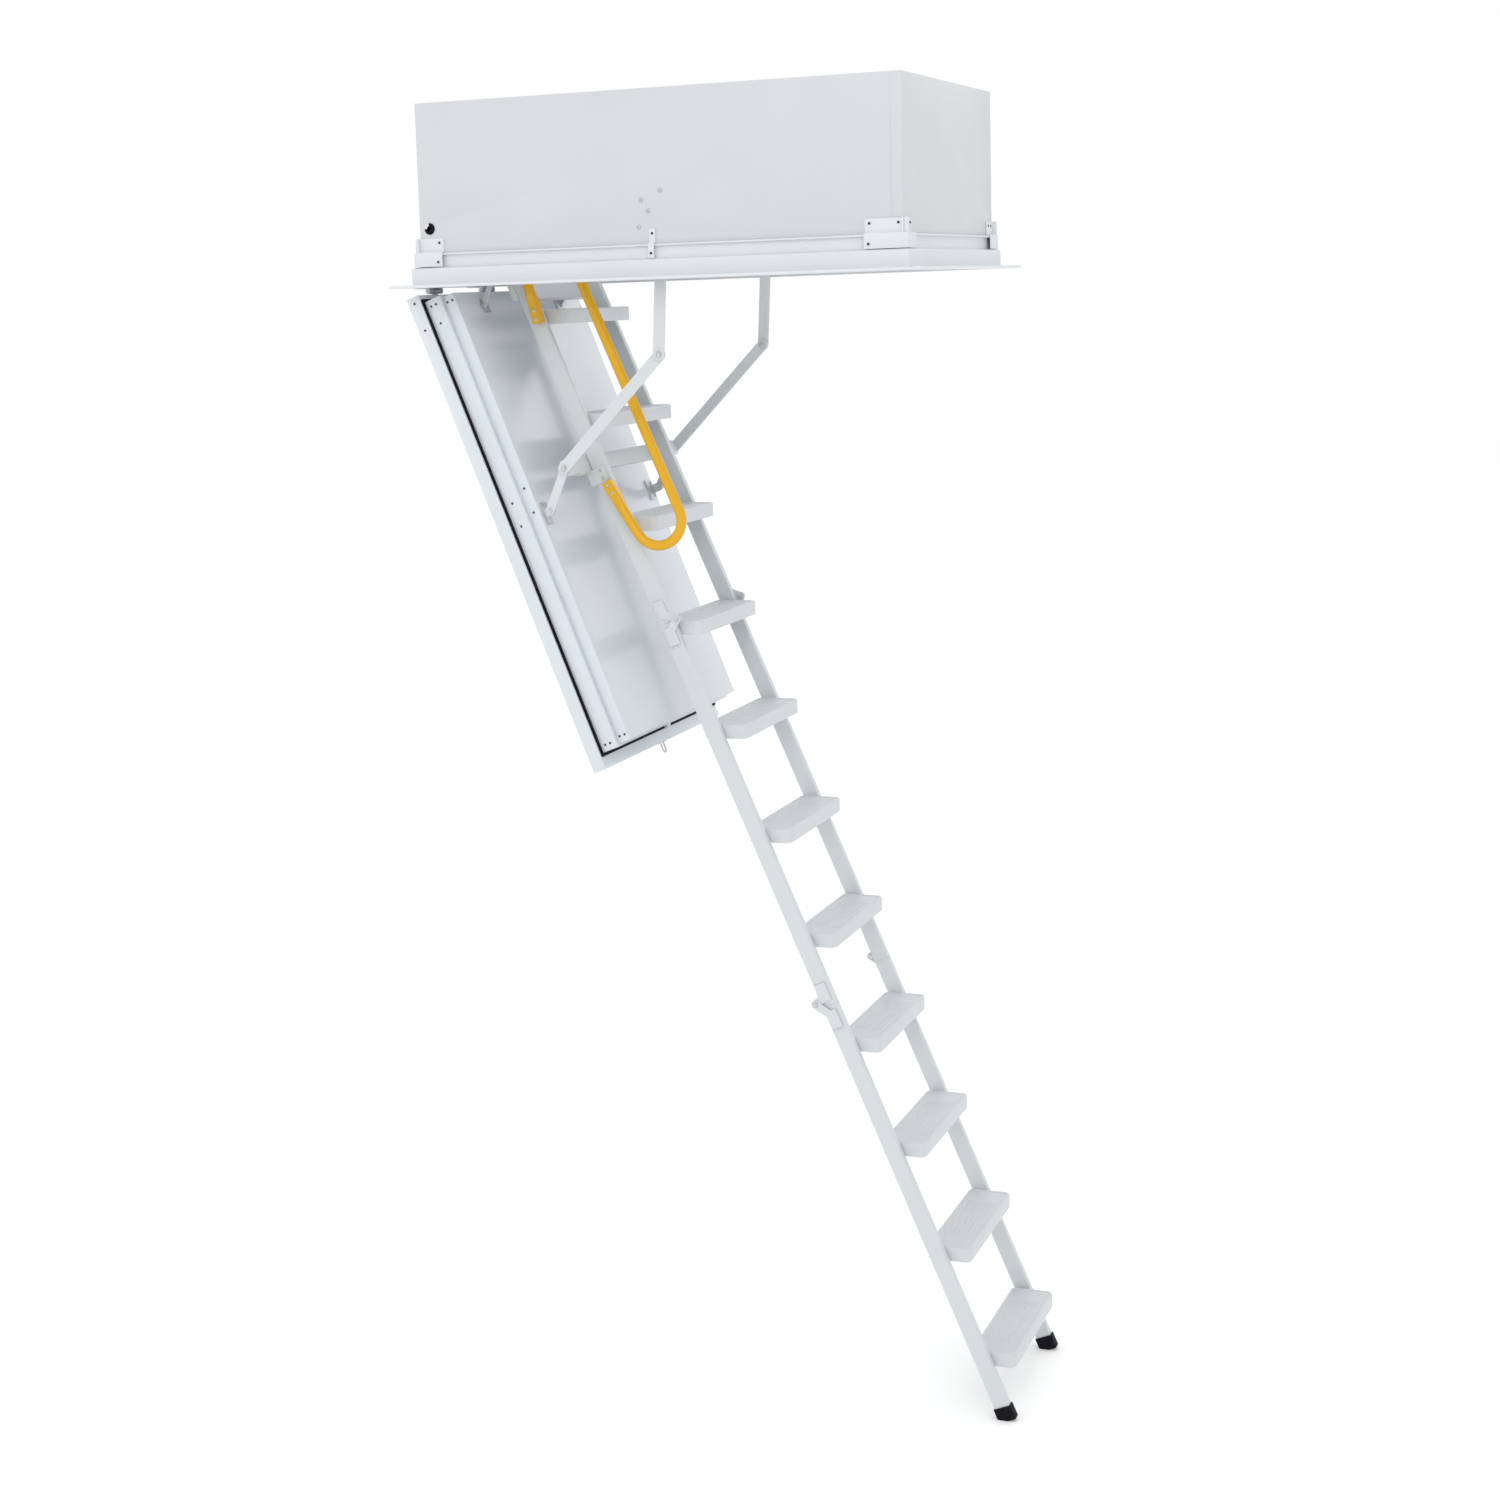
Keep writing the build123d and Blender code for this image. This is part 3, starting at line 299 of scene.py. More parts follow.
@dataclass(frozen=True)
class MouldedRubber:
    """Dull black rubber with a fine grain and a trace of dust."""

    name: str
    colour: tuple = (0.004, 0.003, 0.006)
    dust_scale: float = 70.0
    dust_shade: float = 2.4
    dust_span: tuple = (0.45, 0.8)
    roughness: float = 0.75
    roughness_swing: float = 0.25
    specular: float = 0.12
    grain_scale: float = 1400.0
    grain_depth: float = 0.00012

    def build(self) -> bpy.types.Material:
        """Makes the material.

        Returns:
            The new material.
        """
        recipe = Recipe(self.name)
        dust = recipe.noise(self.dust_scale, detail=5.0)
        dusty = scaled(self.colour, self.dust_shade)
        recipe.set(Base_Color=recipe.shades(dust, self.colour, dusty, self.dust_span))
        recipe.set(Roughness=self.roughness - dust * self.roughness_swing, Specular_IOR_Level=self.specular)
        recipe.bump(recipe.noise(self.grain_scale, detail=2.0), self.grain_depth)
        return recipe.material


@dataclass(frozen=True)
class BlackenedSteel:
    """Oil-blackened screw steel."""

    name: str
    colour: tuple = (0.06, 0.06, 0.065)
    wear_scale: float = 600.0
    wear_shade: float = 3.0
    wear_span: tuple = (0.5, 0.8)
    wear_depth: float = 0.00008
    metallic: float = 0.8
    roughness: float = 0.3
    roughness_swing: float = 0.25

    def build(self) -> bpy.types.Material:
        """Makes the material.

        Returns:
            The new material.
        """
        recipe = Recipe(self.name)
        wear = recipe.noise(self.wear_scale, detail=4.0)
        worn = scaled(self.colour, self.wear_shade)
        recipe.set(Base_Color=recipe.shades(wear, self.colour, worn, self.wear_span))
        recipe.set(Metallic=self.metallic, Roughness=self.roughness + wear * self.roughness_swing)
        recipe.bump(wear, self.wear_depth)
        return recipe.material


class Finish(Enum):
    """The finishes of the ladder's pieces."""

    CASING = PowderCoat("casing_white", (0.59, 0.605, 0.625))
    RAIL = PowderCoat("base_rail_white", (0.68, 0.71, 0.735), roughness=0.33)
    HATCH = PowderCoat("hatch_gloss_white", (0.63, 0.68, 0.725), roughness=0.16, peel_depth=0.0001, coat=0.6)
    LADDER = PowderCoat("ladder_pale_grey", (0.605, 0.64, 0.655), roughness=0.36)
    TREAD = PowderCoat("tread_pale_grey", (0.595, 0.62, 0.64), roughness=0.42, peel_depth=0.0003)
    HANDRAIL = PowderCoat(
        "handrail_amber", (0.72, 0.385, 0.006), roughness=0.2, peel_depth=0.00012, coat=0.3, specular=0.25,
    )
    ZINC = ZincPlate("zinc_plate")
    RUBBER = MouldedRubber("black_rubber")
    SCREW = BlackenedSteel("blackened_screw")
    GROMMET = PowderCoat("grommet_plastic", (0.66, 0.67, 0.67), roughness=0.5, coat=0.0)


SLOTS = {
    Finish.CASING: "casing_sheet", Finish.RAIL: "base_rail", Finish.HATCH: "hatch_panel",
    Finish.LADDER: "ladder_paint", Finish.TREAD: "tread_paint", Finish.HANDRAIL: "handrail_paint",
    Finish.ZINC: "zinc", Finish.RUBBER: "seal", Finish.SCREW: "dark_screw", Finish.GROMMET: "grommet",
}
_made: dict = {}


def paint(finish: Finish) -> bpy.types.Material:
    """The material of a finish, made once.

    Args:
        finish: the finish.

    Returns:
        Its material.
    """
    if finish not in _made:
        _made[finish] = finish.value.build()
    return _made[finish]


# ---------------------------------------------------------------- mesh work
def body_of(node: str) -> str:
    """The moving body that holds a CAD node.

    Args:
        node: the CAD node.

    Returns:
        The body's name.
    """
    for body, members in frame["record"]["behaviour"]["bodies"].items():
        if node in members:
            return body
    raise KeyError(node)


def middle(node: str) -> Vector:
    """The centre of a CAD node's box."""
    low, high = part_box(node)
    return (low + high) / 2


def keep(
    work: bmesh.types.BMesh, name: str, finish: Finish, node: str, smooth: float = SMOOTH_ANGLE,
) -> bpy.types.Object:
    """Turns finished mesh work into a piece that stands for a CAD node.

    Args:
        work: the mesh, which is freed.
        name: the piece's name.
        finish: its finish.
        node: the CAD node it replaces.
        smooth: angle in degrees under which edges are shaded smooth.

    Returns:
        The new object.
    """
    bmesh.ops.recalc_face_normals(work, faces=work.faces[:])
    mesh = bpy.data.meshes.new(name)
    limit = math.radians(smooth)
    for face in work.faces:
        face.smooth = True
    for edge in work.edges:
        edge.smooth = len(edge.link_faces) == 2 and edge.calc_face_angle(0.0) < limit
    work.to_mesh(mesh)
    work.free()
    mesh.materials.append(paint(finish))
    piece = bpy.data.objects.new(name, mesh)
    bpy.context.scene.collection.objects.link(piece)
    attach(piece, body_of(node))
    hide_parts(node)
    "feet" if node == "feet" else SLOTS[finish]
    LOG.info("%s: %d faces, rides %s", name, len(mesh.polygons), body_of(node))
    return piece


def paint_bore_shade(piece: bpy.types.Object, radius: float, finish: Finish) -> None:
    """Gives a piece's faces round its holes along Y another finish.

    The faces are chosen by their centres, so the walls take it and so does part of a lip; their darker finish
    is painted shade that stands for the dark inside of the holes.

    Args:
        piece: the piece, whose holes share one X and Z.
        radius: the largest distance from the holes' axis, in millimetres.
        finish: the finish of those faces, a dark one used as painted shade.
    """
    piece.data.materials.append(paint(finish))
    low, high = extent(vert.co for vert in piece.data.vertices)
    centre = (low + high) / 2
    for face in piece.data.polygons:
        if math.hypot(face.center.x - centre.x, face.center.z - centre.z) < radius * MM:
            face.material_index = 1


def cad_work(node: str) -> bmesh.types.BMesh:
    """A copy of a CAD node's mesh, with flat faces joined up and doubled points merged.

    Args:
        node: the CAD node.

    Returns:
        The copy, to be freed by its user.
    """
    work = bmesh.new()
    work.from_mesh(frame["nodes"][node].data)
    bmesh.ops.remove_doubles(work, verts=work.verts[:], dist=MERGE_DISTANCE)
    flat = {"angle_limit": math.radians(FLAT_ANGLE), "use_dissolve_boundaries": False}
    bmesh.ops.dissolve_limit(work, verts=work.verts[:], edges=work.edges[:], **flat)
    return work


def soften(node: str, finish: Finish, width: float = 0.6, steps: int = 2) -> bpy.types.Object:
    """Stands a bevelled copy in for a CAD node.

    Args:
        node: the CAD node.
        finish: its finish.
        width: the bevel's width in millimetres.
        steps: how many faces make up the bevel.

    Returns:
        The new object.
    """
    work = cad_work(node)
    limit = math.radians(SHARP_ANGLE)
    sharp = [e for e in work.edges if len(e.link_faces) == 2 and e.calc_face_angle(0.0) > limit]
    bmesh.ops.bevel(
        work, geom=sharp, offset=width * MM, offset_type="OFFSET", segments=steps, profile=BEVEL_PROFILE,
        affect="EDGES", clamp_overlap=True,
    )
    return keep(work, f"{node}_finished", finish, node)


def islands(node: str) -> list:
    """The separate solids of a CAD node, each as its list of points.

    Args:
        node: the CAD node.

    Returns:
        One list of points for each solid.
    """
    work = bmesh.new()
    work.from_mesh(frame["nodes"][node].data)
    bmesh.ops.remove_doubles(work, verts=work.verts[:], dist=MERGE_DISTANCE)
    left = set(work.verts)
    found = []
    while left:
        stack = [left.pop()]
        points = []
        while stack:
            vert = stack.pop()
            points.append(vert.co.copy())
            for edge in vert.link_edges:
                other = edge.other_vert(vert)
                if other in left:
                    left.remove(other)
                    stack.append(other)
        found.append(points)
    work.free()
    return found


def extent(points: Iterable[Vector]) -> tuple:
    """Lowest and highest corner of some points.

    Args:
        points: the points.

    Returns:
        The lowest corner, then the highest.
    """
    points = list(points)
    low = Vector(min(p[i] for p in points) for i in range(3))
    high = Vector(max(p[i] for p in points) for i in range(3))
    return low, high


def bridge(work: bmesh.types.BMesh, rings: Iterable[tuple]) -> None:
    """Joins pairs of closed rings of points with a band of faces each.

    Args:
        work: the mesh that holds the points.
        rings: pairs of rings, each ring a list of as many points as its partner.
    """
    for lower, upper in rings:
        for index in range(len(lower)):
            after = (index + 1) % len(lower)
            work.faces.new((lower[index], lower[after], upper[after], upper[index]))


def turned(work: bmesh.types.BMesh, profile: Sequence[tuple], steps: int, frame_at: Matrix) -> None:
    """Adds a solid of revolution about its own Z, closed at both ends.

    Args:
        work: the mesh it is added to.
        profile: (radius, height) pairs from the base up.
        steps: how many sides it has.
        frame_at: where it stands.
    """
    rings = []
    for radius, height in profile:
        ring = []
        for index in range(steps):
            angle = 2 * math.pi * index / steps
            point = Vector((radius * math.cos(angle), radius * math.sin(angle), height))
            ring.append(work.verts.new(frame_at @ point))
        rings.append(ring)
    bridge(work, zip(rings, rings[1:]))
    work.faces.new(list(reversed(rings[0])))
    work.faces.new(rings[-1])


class Drive(Enum):
    """The recess in a screw's or bolt's head."""

    CROSS = "cross"
    SOCKET = "socket"


@dataclass
class ScrewHeads:
    """Domed heads with a drive recess, one for each solid of a CAD node."""

    node: str
    finish: Finish
    drive: Drive = Drive.CROSS
    sides: int = 28
    socket_sides: int = 24
    dome: tuple = ((1.0, 0.0), (1.0, 0.35), (0.95, 0.62), (0.8, 0.86), (0.62, 1.0))
    bowl: tuple = ((1.0, 0.98), (0.92, 0.3), (0.2, 0.22))
    cross_share: float = 0.42
    socket_share: float = 0.5

    def build(self) -> bpy.types.Object:
        """Makes every head as one piece.

        Returns:
            The new object.
        """
        work = bmesh.new()
        centre = middle(self.node)
        for points in islands(self.node):
            low, high = extent(points)
            size = high - low
            axis = 0 if size[0] < size[1] else 1
            outward = 1.0 if ((low + high) / 2)[axis] > centre[axis] else -1.0
            self._head(work, low, high, axis, outward)
        return keep(work, f"{self.node}_heads", self.finish, self.node, TURNED_SMOOTH_ANGLE)

    def _head(self, work: bmesh.types.BMesh, low: Vector, high: Vector, axis: int, outward: float) -> None:
        """Adds one head inside a solid's box, facing out along an axis.

        Args:
            work: the mesh it is added to.
            low: the box's lowest corner.
            high: the box's highest corner.
            axis: 0 to 2 for X to Z.
            outward: 1 or -1, the way it faces along that axis.
        """
        normal = Vector((0, 0, 0))
        normal[axis] = outward
        place = (low + high) / 2
        tall = high[axis] - low[axis]
        place[axis] = low[axis] if outward > 0 else high[axis]
        radius = min(high[i] - low[i] for i in range(3) if i != axis) / 2
        stand = Matrix.Translation(place) @ normal.to_track_quat("Z", "X").to_matrix().to_4x4()
        socket = self.drive is Drive.SOCKET
        recess = radius * (self.socket_share if socket else self.cross_share)
        profile = [(radius * across, tall * up) for across, up in self.dome]
        profile += [(recess * across, tall * up) for across, up in self.bowl]
        turned(work, profile, self.socket_sides if socket else self.sides, stand)


# ---------------------------------------------------------------- casing
@dataclass
class Casing:
    """The open box, its ceiling frame and the hardware on it."""

    sheet_bevel: float = 0.4
    rail_bevel: float = 1.2
    rail_bevel_steps: int = 3
    bracket_bevel: float = 0.7
    fitting_bevel: float = 0.5
    pin_bevel: float = 0.6
    # radius of the painted shade round the grommets' holes, in millimetres
    bore_shade_radius: float = 8.6

    def build(self) -> None:
        """Makes the casing's pieces."""
        for node in ("near_side_panel", "far_side_panel", "hinge_end_panel", "free_end_panel"):
            soften(node, Finish.CASING, self.sheet_bevel)
        for node in ("long_base_rails", "end_base_rails"):
            soften(node, Finish.RAIL, self.rail_bevel, self.rail_bevel_steps)
        soften("rail_brackets", Finish.RAIL, self.bracket_bevel)
        grommets = soften("fixing_grommets", Finish.GROMMET, self.fitting_bevel)
        # the grommets' bores take black rubber as painted shade for their dark holes
        paint_bore_shade(grommets, self.bore_shade_radius, Finish.RUBBER)
        for node in ("arm_brackets", "frame_hinge_leaves", "latch_strike"):
            soften(node, Finish.ZINC, self.fitting_bevel)
        soften("hinge_pins", Finish.ZINC, self.pin_bevel)
        ScrewHeads("frame_screws", Finish.SCREW).build()
        ScrewHeads("arm_bracket_bolts", Finish.ZINC, Drive.SOCKET).build()


# ---------------------------------------------------------------- hatch
@dataclass
class Hatch:
    """The stepped hatch, its seal and the hardware on it."""

    panel_bevel: float = 0.55
    seal_bevel: float = 1.6
    seal_bevel_steps: int = 3
    fitting_bevel: float = 0.5
    bolt_bevel: float = 0.8

    def build(self) -> None:
        """Makes the hatch's pieces."""
        for node in ("hatch_outer_leaf", "lower_tray", "upper_tray"):
            soften(node, Finish.HATCH, self.panel_bevel)
        soften("hatch_seal", Finish.RUBBER, self.seal_bevel, self.seal_bevel_steps)
        ScrewHeads("hatch_screws", Finish.SCREW).build()
        for node in ("hatch_hinge_leaves", "link_brackets", "link_bracket_pins", "latch_housing", "pull_eye"):
            soften(node, Finish.ZINC, self.fitting_bevel)
        soften("latch_bolt", Finish.ZINC, self.bolt_bevel)


# ---------------------------------------------------------------- linkage
@dataclass
class Linkage:
    """The links behind the ladder and the folding arms from the casing."""

    bar_bevel: float = 0.9
    fitting_bevel: float = 0.5

    def build(self) -> None:
        """Makes the links, the arms and their bolts."""
        for node in ("lower_links", "upper_links", "upper_arms", "lower_arms"):
            soften(node, Finish.LADDER, self.bar_bevel)
        for node in ("elbow_bolts", "arm_end_bolts", "link_pins"):
            soften(node, Finish.ZINC, self.fitting_bevel)


# ---------------------------------------------------------------- ladder
@dataclass
class Ladder:
    """Three sections of box stringers and pressed treads."""

    tread_numbers: tuple = tuple(range(2, 13))
    end_gap: float = 3.0
    corner: float = 16.0
    tight_corner: float = 2.0
    skin: float = 1.5
    rim: float = 9.0
    recess: float = 2.0
    rim_run: tuple = ((0.0, 4.0), (0.6, 2.2), (1.8, 0.8), (3.6, 0.0))
    rim_fall: tuple = ((-2.2, 0.0), (-0.8, 0.6))
    rim_foot: float = 0.6
    under_round: float = 2.0
    rib_count: int = 7
    rib_height: float = 1.3
    rib_length: float = 250.0
    rib_margin: float = 7.0
    rib_base_share: float = 0.3
    rib_slopes: tuple = ((1.0, 0.6, 0.25), (1.8, 0.3, 0.0))
    rib_sink: float = 0.2
    tab_length: float = 28.0
    tab_drop: float = 8.0
    tab_rise: float = 1.0
    edge_bevel: float = 0.5
    gusset_bevel: float = 0.6
    pin_bevel: float = 0.6
    crossbar_bevel: float = 1.4
    foot_bevel: float = 2.0
    round_steps: int = 3
    tread_smooth: float = 38.0

    def build(self) -> None:
        """Makes the ladder's pieces."""
        for section in ("upper", "middle", "lower"):
            for side in ("near", "far"):
                soften(f"{section}_{side}_stringer", Finish.LADDER, self.edge_bevel)
        for number in self.tread_numbers:
            self._tread(f"tread_{number:02d}")
        soften("crossbars", Finish.LADDER, self.crossbar_bevel, self.round_steps)
        soften("crossbar_gussets", Finish.LADDER, self.gusset_bevel)
        for node in ("upper_fold_leaves", "middle_fold_leaves", "lower_fold_leaves"):
            soften(node, Finish.LADDER, self.edge_bevel)
        for node in ("upper_fold_pins", "lower_fold_pins"):
            soften(node, Finish.ZINC, self.pin_bevel)
        soften("feet", Finish.RUBBER, self.foot_bevel, self.round_steps)
        ScrewHeads("ladder_screws", Finish.ZINC, Drive.SOCKET).build()

    def _outline(self, low: Vector, high: Vector, inset: float, height: float, steps: int = 8) -> list:
        """Points round a tread at one height, with rounded corners.

        Args:
            low: the tread's lowest corner, without its end tabs.
            high: the tread's highest corner.
            inset: how far inside the edge the outline runs, in metres.
            height: its Z.
            steps: how many spans each corner has.

        Returns:
            The points, anticlockwise from above.
        """
        radius = max(self.corner * MM - inset, self.tight_corner * MM)
        points = []
        for turn, (x, y) in enumerate(((high.x, high.y), (low.x, high.y), (low.x, low.y), (high.x, low.y))):
            sign_x = 1 if x == high.x else -1
            sign_y = 1 if y == high.y else -1
            centre = Vector((x - sign_x * (inset + radius), y - sign_y * (inset + radius), height))
            for step in range(steps + 1):
                angle = math.pi / 2 * (turn + step / steps)
                points.append(centre + Vector((radius * math.cos(angle), radius * math.sin(angle), 0)))
        return points

    def _tread(self, node: str) -> bpy.types.Object:
        """Makes one pressed tread: a skirt, a rolled rim, a sunk middle with ribs, and an open underside.

        Args:
            node: the CAD node it replaces.

        Returns:
            The new object.
        """
        low, high = (Vector(corner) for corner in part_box(node))
        low.y += self.end_gap * MM
        high.y -= self.end_gap * MM
        top, floor = high.z, low.z
        loops = [(self.skin, floor), (0.0, floor)]
        loops += [(inset, top - below * MM) for inset, below in self.rim_run]
        loops += [(self.rim + inset, top - below * MM) for inset, below in self.rim_fall]
        loops.append((self.rim + self.rim_foot, top - self.recess * MM))
        ceiling = self.recess + self.skin
        inner = [
            (self.skin, top - (ceiling + self.under_round) * MM),
            (self.skin + self.under_round, top - ceiling * MM),
        ]
        work = bmesh.new()
        rings, under = (
            [[work.verts.new(p) for p in self._outline(low, high, inset * MM, z)] for inset, z in part]
            for part in (loops, inner)
        )
        bridge(work, list(zip(rings, rings[1:])) + [(rings[0], under[0]), (under[0], under[1])])
        work.faces.new(rings[-1])
        work.faces.new(under[-1])
        self._ribs(work, low, high, top - self.recess * MM)
        self._tabs(work, node, low, high)
        return keep(work, f"{node}_pressed", Finish.TREAD, node, self.tread_smooth)

    def _ribs(self, work: bmesh.types.BMesh, low: Vector, high: Vector, base: float) -> None:
        """Adds the raised grip ribs along a tread's sunk middle.

        Args:
            work: the mesh they are added to.
            low: the tread's lowest corner, without its end tabs.
            high: the tread's highest corner.
            base: the sunk middle's Z.
        """
        margin = (self.rim + self.rib_margin) * MM
        across = ((high.x - low.x) - 2 * margin) / self.rib_count
        half = across * self.rib_base_share
        length = self.rib_length * MM / 2
        crown = base + self.rib_height * MM
        sections = [(length, half, base - self.rib_sink * MM), (length, half, base)]
        for shorter, share, below in self.rib_slopes:
            sections.append((length - shorter * MM, half * share, crown - below * MM))
        for row in range(self.rib_count):
            x = low.x + margin + across * (row + 0.5)
            rings = []
            for reach, wide, z in sections:
                corners = ((wide, reach), (-wide, reach), (-wide, -reach), (wide, -reach))
                rings.append([work.verts.new((x + dx, dy, z)) for dx, dy in corners])
            bridge(work, zip(rings, rings[1:]))
            work.faces.new(rings[-1])
            work.faces.new(list(reversed(rings[0])))

    def _tabs(self, work: bmesh.types.BMesh, node: str, low: Vector, high: Vector) -> None:
        """Adds the tab at each end that meets the stringer.

        Args:
            work: the mesh they are added to.
            node: the tread's CAD node.
            low: the tread's lowest corner, without its end tabs.
            high: the tread's highest corner.
        """
        start = middle("tread_02")
        finish = middle("tread_12")
        along = (finish - start).normalized()
        x = (low.x + high.x) / 2 - self._lean(along)
        for side in SIDES:
            inside = high.y - self.skin * MM if side > 0 else low.y + self.skin * MM
            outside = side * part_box(node)[1].y
            box = bmesh.ops.create_cube(work, size=1.0)["verts"]
            centre = Vector((x, (inside + outside) / 2, (low.z + high.z) / 2 + self.tab_rise * MM))
            size = Vector((self.tab_length * MM, abs(outside - inside), high.z - low.z - self.tab_drop * MM))
            for vert in box:
                vert.co = centre + Vector(vert.co[i] * size[i] for i in range(3))

    @staticmethod
    def _lean(along: Vector) -> float:
        """How far a tread's centre stands in front of the stringers' centre line.

        Args:
            along: the way down the ladder.

        Returns:
            The distance along X, in metres.
        """
        low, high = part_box("upper_near_stringer")
        tread = middle("tread_03")
        share = (tread.z - (low.z + high.z) / 2) / along.z
        return tread.x - ((low.x + high.x) / 2 + share * along.x)


# ---------------------------------------------------------------- handrail
@dataclass
class Handrail:
    """The tube hoop, pressed flat where it is screwed to the near stringer."""

    tube_radius: float = 12.5
    bend_radius: float = 62.0
    run_height: float = 160.0
    first_bend: float = 161.0
    last_bend: float = 862.0
    end_run: float = 107.0
    end_slope: float = 9.9
    flat_length: float = 44.0
    flat_half: float = 14.5
    flat_squareness: float = 0.72
    press_start: float = 0.62
    sides: int = 28
    run_steps: int = 8
    turn_steps: int = 32
    smooth: float = 50.0
    tread_pitch: float = 278.4
    tread_lead: float = 22.45

    def build(self) -> bpy.types.Object:
        """Makes the hoop as one swept tube.

        Returns:
            The new object.
        """
        along = (middle("tread_12") - middle("tread_02")).normalized()
        outward = Vector((-along.z, 0, along.x))
        start = middle("tread_02") - Vector((self.tread_lead * MM, 0, 0)) - along * self.tread_pitch * MM
        work = bmesh.new()
        rings = []
        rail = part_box("handrail")
        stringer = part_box("upper_near_stringer")[0].y
        centre_y = rail[0].y + self.tube_radius * MM
        for s, n, direction, flat in self._route():
            point = start + along * s * MM + outward * n * MM
            point.y = centre_y
            ahead = (along * direction[0] + outward * direction[1]).normalized()
            width = ahead.cross(Vector((0, 1, 0)))
            thick = self.tube_radius * (1 - flat) + self.flat_half * flat
            point.y = centre_y * (1 - flat) + (stringer - self.flat_half * MM) * flat
            power = 1 - self.flat_squareness * flat
            ring = []
            for index in range(self.sides):
                angle = 2 * math.pi * index / self.sides
                across = self._squared(math.cos(angle), power) * self.tube_radius * MM
                deep = self._squared(math.sin(angle), power) * thick * MM
                ring.append(work.verts.new(point + width * across + Vector((0, deep, 0))))
            rings.append(ring)
        bridge(work, zip(rings, rings[1:]))
        work.faces.new(list(reversed(rings[0])))
        work.faces.new(rings[-1])
        return keep(work, "handrail_hoop", Finish.HANDRAIL, "handrail", self.smooth)

    @staticmethod
    def _squared(part: float, power: float) -> float:
        """A sine or cosine bent towards a square's outline."""
        return math.copysign(abs(part) ** power, part)

    def _half(self, end: int) -> list:
        """One half of the route, from mid run to its flattened end.

        Args:
            end: 1 for the lower end, -1 for the upper.

        Returns:
            A list of (s, n, direction, flatness).
        """
        bend_s = self.last_bend if end > 0 else self.first_bend
        mid = (self.first_bend + self.last_bend) / 2
        turn = math.radians(180 - self.end_slope)
        centre_n = self.run_height - self.bend_radius
        route = []
        for step in range(self.run_steps + 1):
            route.append((mid + (bend_s - mid) * step / self.run_steps, self.run_height, (end, 0), 0.0))
        for step in range(1, self.turn_steps + 1):
            angle = turn * step / self.turn_steps
            s = bend_s + end * self.bend_radius * math.sin(angle)
            n = centre_n + self.bend_radius * math.cos(angle)
            route.append((s, n, (end * math.cos(angle), -math.sin(angle)), 0.0))
        s, n = route[-1][0], route[-1][1]
        slope = math.radians(self.end_slope)
        total = self.end_run + self.flat_length
        start = self.end_run * self.press_start
        pressing = self.end_run * (1 - self.press_start)
        for step in range(1, self.turn_steps + 1):
            distance = total * step / self.turn_steps
            flat = min(1.0, max(0.0, (distance - start) / pressing))
            flat = flat * flat * (3 - 2 * flat)
            route.append((s - end * distance * math.cos(slope), n - distance * math.sin(slope),
                          (-end * math.cos(slope), -math.sin(slope)), flat))
        return route

    def _route(self) -> list:
        """The whole route as (s, n, direction, flatness), from one flattened end to the other."""
        back = [(s, n, (-d[0], -d[1]), flat) for s, n, d, flat in reversed(self._half(-1))]
        return back[:-1] + self._half(1)


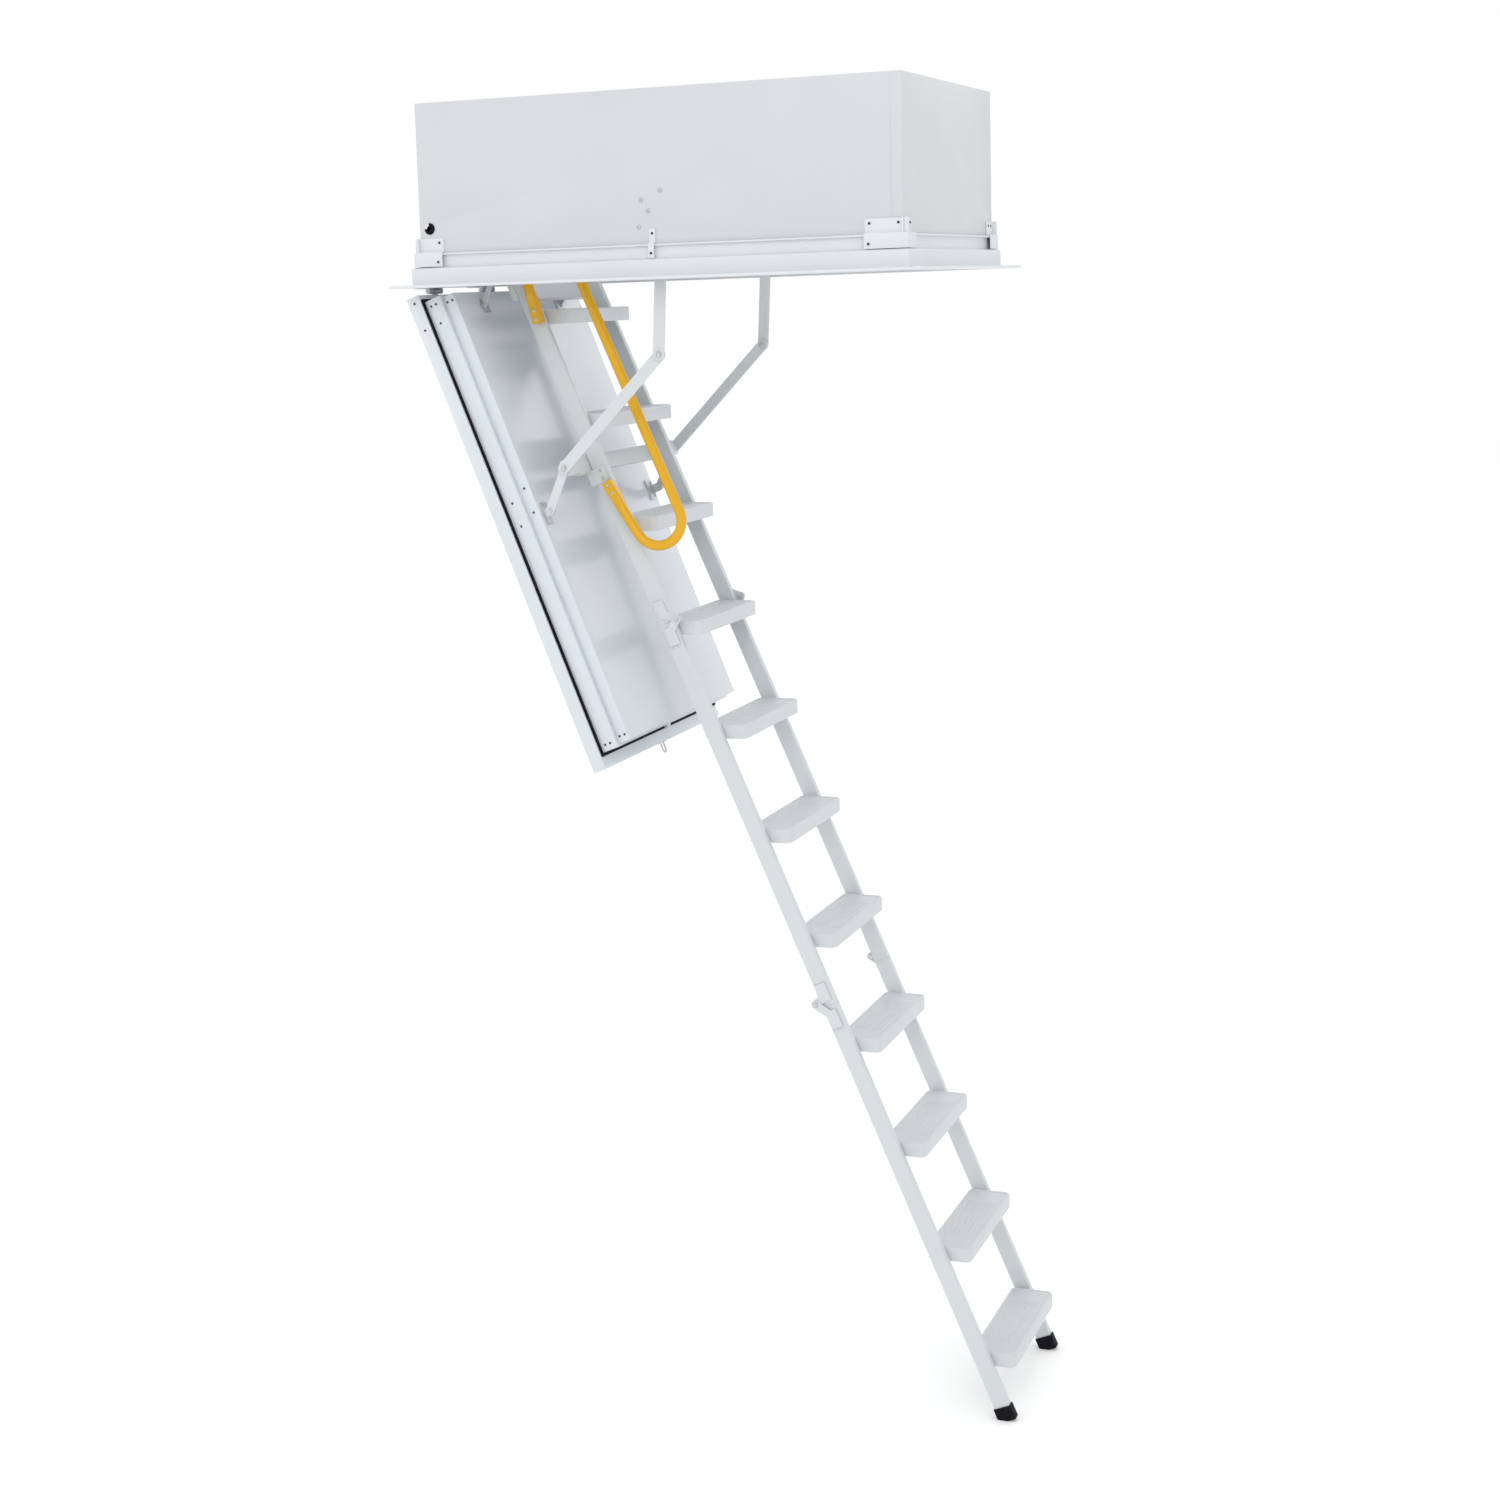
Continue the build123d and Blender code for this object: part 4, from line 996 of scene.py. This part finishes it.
# ---------------------------------------------------------------- studio
@dataclass
class Studio:
    """Pale floor, soft lights and the camera."""

    lens: float = 60.177
    sensor: float = 36.0
    shift: tuple = (0.0894, -0.0601)
    stand: tuple = (2.20033, -5.91050, -0.03510)
    turn: float = 0.400
    pitch: float = -0.144
    roll: float = -0.035
    floor_size: float = 60.0
    floor_colour: tuple = (0.93, 0.93, 0.93)
    floor_glow: float = 0.1
    floor_roughness: float = 0.9
    view_end: float = 200.0
    lamp_size: float = 3.0
    lamp_aim: tuple = (0.0, 0.0, -0.6)
    lamps: tuple = (
        ("key_softbox", (1.4, -5.2, 3.2), 60.0),
        ("fill_softbox", (-4.5, -3.5, 0.5), 14.0),
        ("rear_softbox", (1.5, 5.0, 2.5), 14.0),
    )

    def build(self) -> None:
        """Makes the whole studio."""
        self._camera()
        self._floor()
        self._world()
        for name, place, power in self.lamps:
            self._lamp(name, place, power)

    def _camera(self) -> None:
        """Stands the camera where the object is seen from."""
        sin_a, cos_a = math.sin(self.turn), math.cos(self.turn)
        forward = Vector((-sin_a * math.cos(self.pitch), cos_a * math.cos(self.pitch), math.sin(self.pitch)))
        right = Vector((cos_a, sin_a, 0))
        up = right.cross(forward)
        right_rolled = right * math.cos(self.roll) + up * math.sin(self.roll)
        up_rolled = up * math.cos(self.roll) - right * math.sin(self.roll)
        data = bpy.data.cameras.new("studio_camera")
        data.lens = self.lens
        data.sensor_width = self.sensor
        data.shift_x, data.shift_y = self.shift
        data.clip_end = self.view_end
        camera = bpy.data.objects.new("studio_camera", data)
        bpy.context.scene.collection.objects.link(camera)
        matrix = Matrix((right_rolled, up_rolled, -forward)).transposed().to_4x4()
        matrix.translation = Vector(self.stand)
        camera.matrix_world = matrix
        bpy.context.scene.camera = camera

    def _floor(self) -> None:
        """Lays a pale floor under the feet."""
        work = bmesh.new()
        half = self.floor_size / 2
        level = CAD_BOX[0].z
        corners = ((-half, -half), (half, -half), (half, half), (-half, half))
        work.faces.new([work.verts.new((x, y, level)) for x, y in corners])
        mesh = bpy.data.meshes.new("studio_floor")
        work.to_mesh(mesh)
        work.free()
        recipe = Recipe("floor_paint")
        recipe.set(Base_Color=(*self.floor_colour, 1.0), Roughness=self.floor_roughness)
        recipe.set(Emission_Color=(1.0, 1.0, 1.0, 1.0), Emission_Strength=self.floor_glow)
        mesh.materials.append(recipe.material)
        floor = bpy.data.objects.new("studio_floor", mesh)
        bpy.context.scene.collection.objects.link(floor)

    @staticmethod
    def _world() -> None:
        """Lights the room evenly with white, and shows colours without a film curve."""
        world = bpy.data.worlds.new("studio_air")
        world.use_nodes = True
        background = world.node_tree.nodes["Background"]
        background.inputs["Color"].default_value = (1.0, 1.0, 1.0, 1.0)
        background.inputs["Strength"].default_value = 1.0
        bpy.context.scene.world = world
        bpy.context.scene.view_settings.view_transform = "Standard"

    def _lamp(self, name: str, place: tuple, power: float) -> None:
        """Stands a soft square lamp that faces the ladder's middle.

        Args:
            name: the lamp's name.
            place: where it stands.
            power: its power in watts.
        """
        data = bpy.data.lights.new(name, "AREA")
        data.shape = "SQUARE"
        data.size = self.lamp_size
        data.energy = power
        lamp = bpy.data.objects.new(name, data)
        bpy.context.scene.collection.objects.link(lamp)
        lamp.location = place
        aim = Vector(self.lamp_aim) - Vector(place)
        lamp.rotation_euler = aim.to_track_quat("-Z", "Y").to_euler()


def main() -> None:
    """Builds the studio and every sub-assembly."""
    logging.basicConfig(level=logging.INFO, format="%(name)s: %(message)s")
    for part in (Studio(), Casing(), Hatch(), Linkage(), Ladder(), Handrail()):
        part.build()


if __name__ == "__main__":
    main()
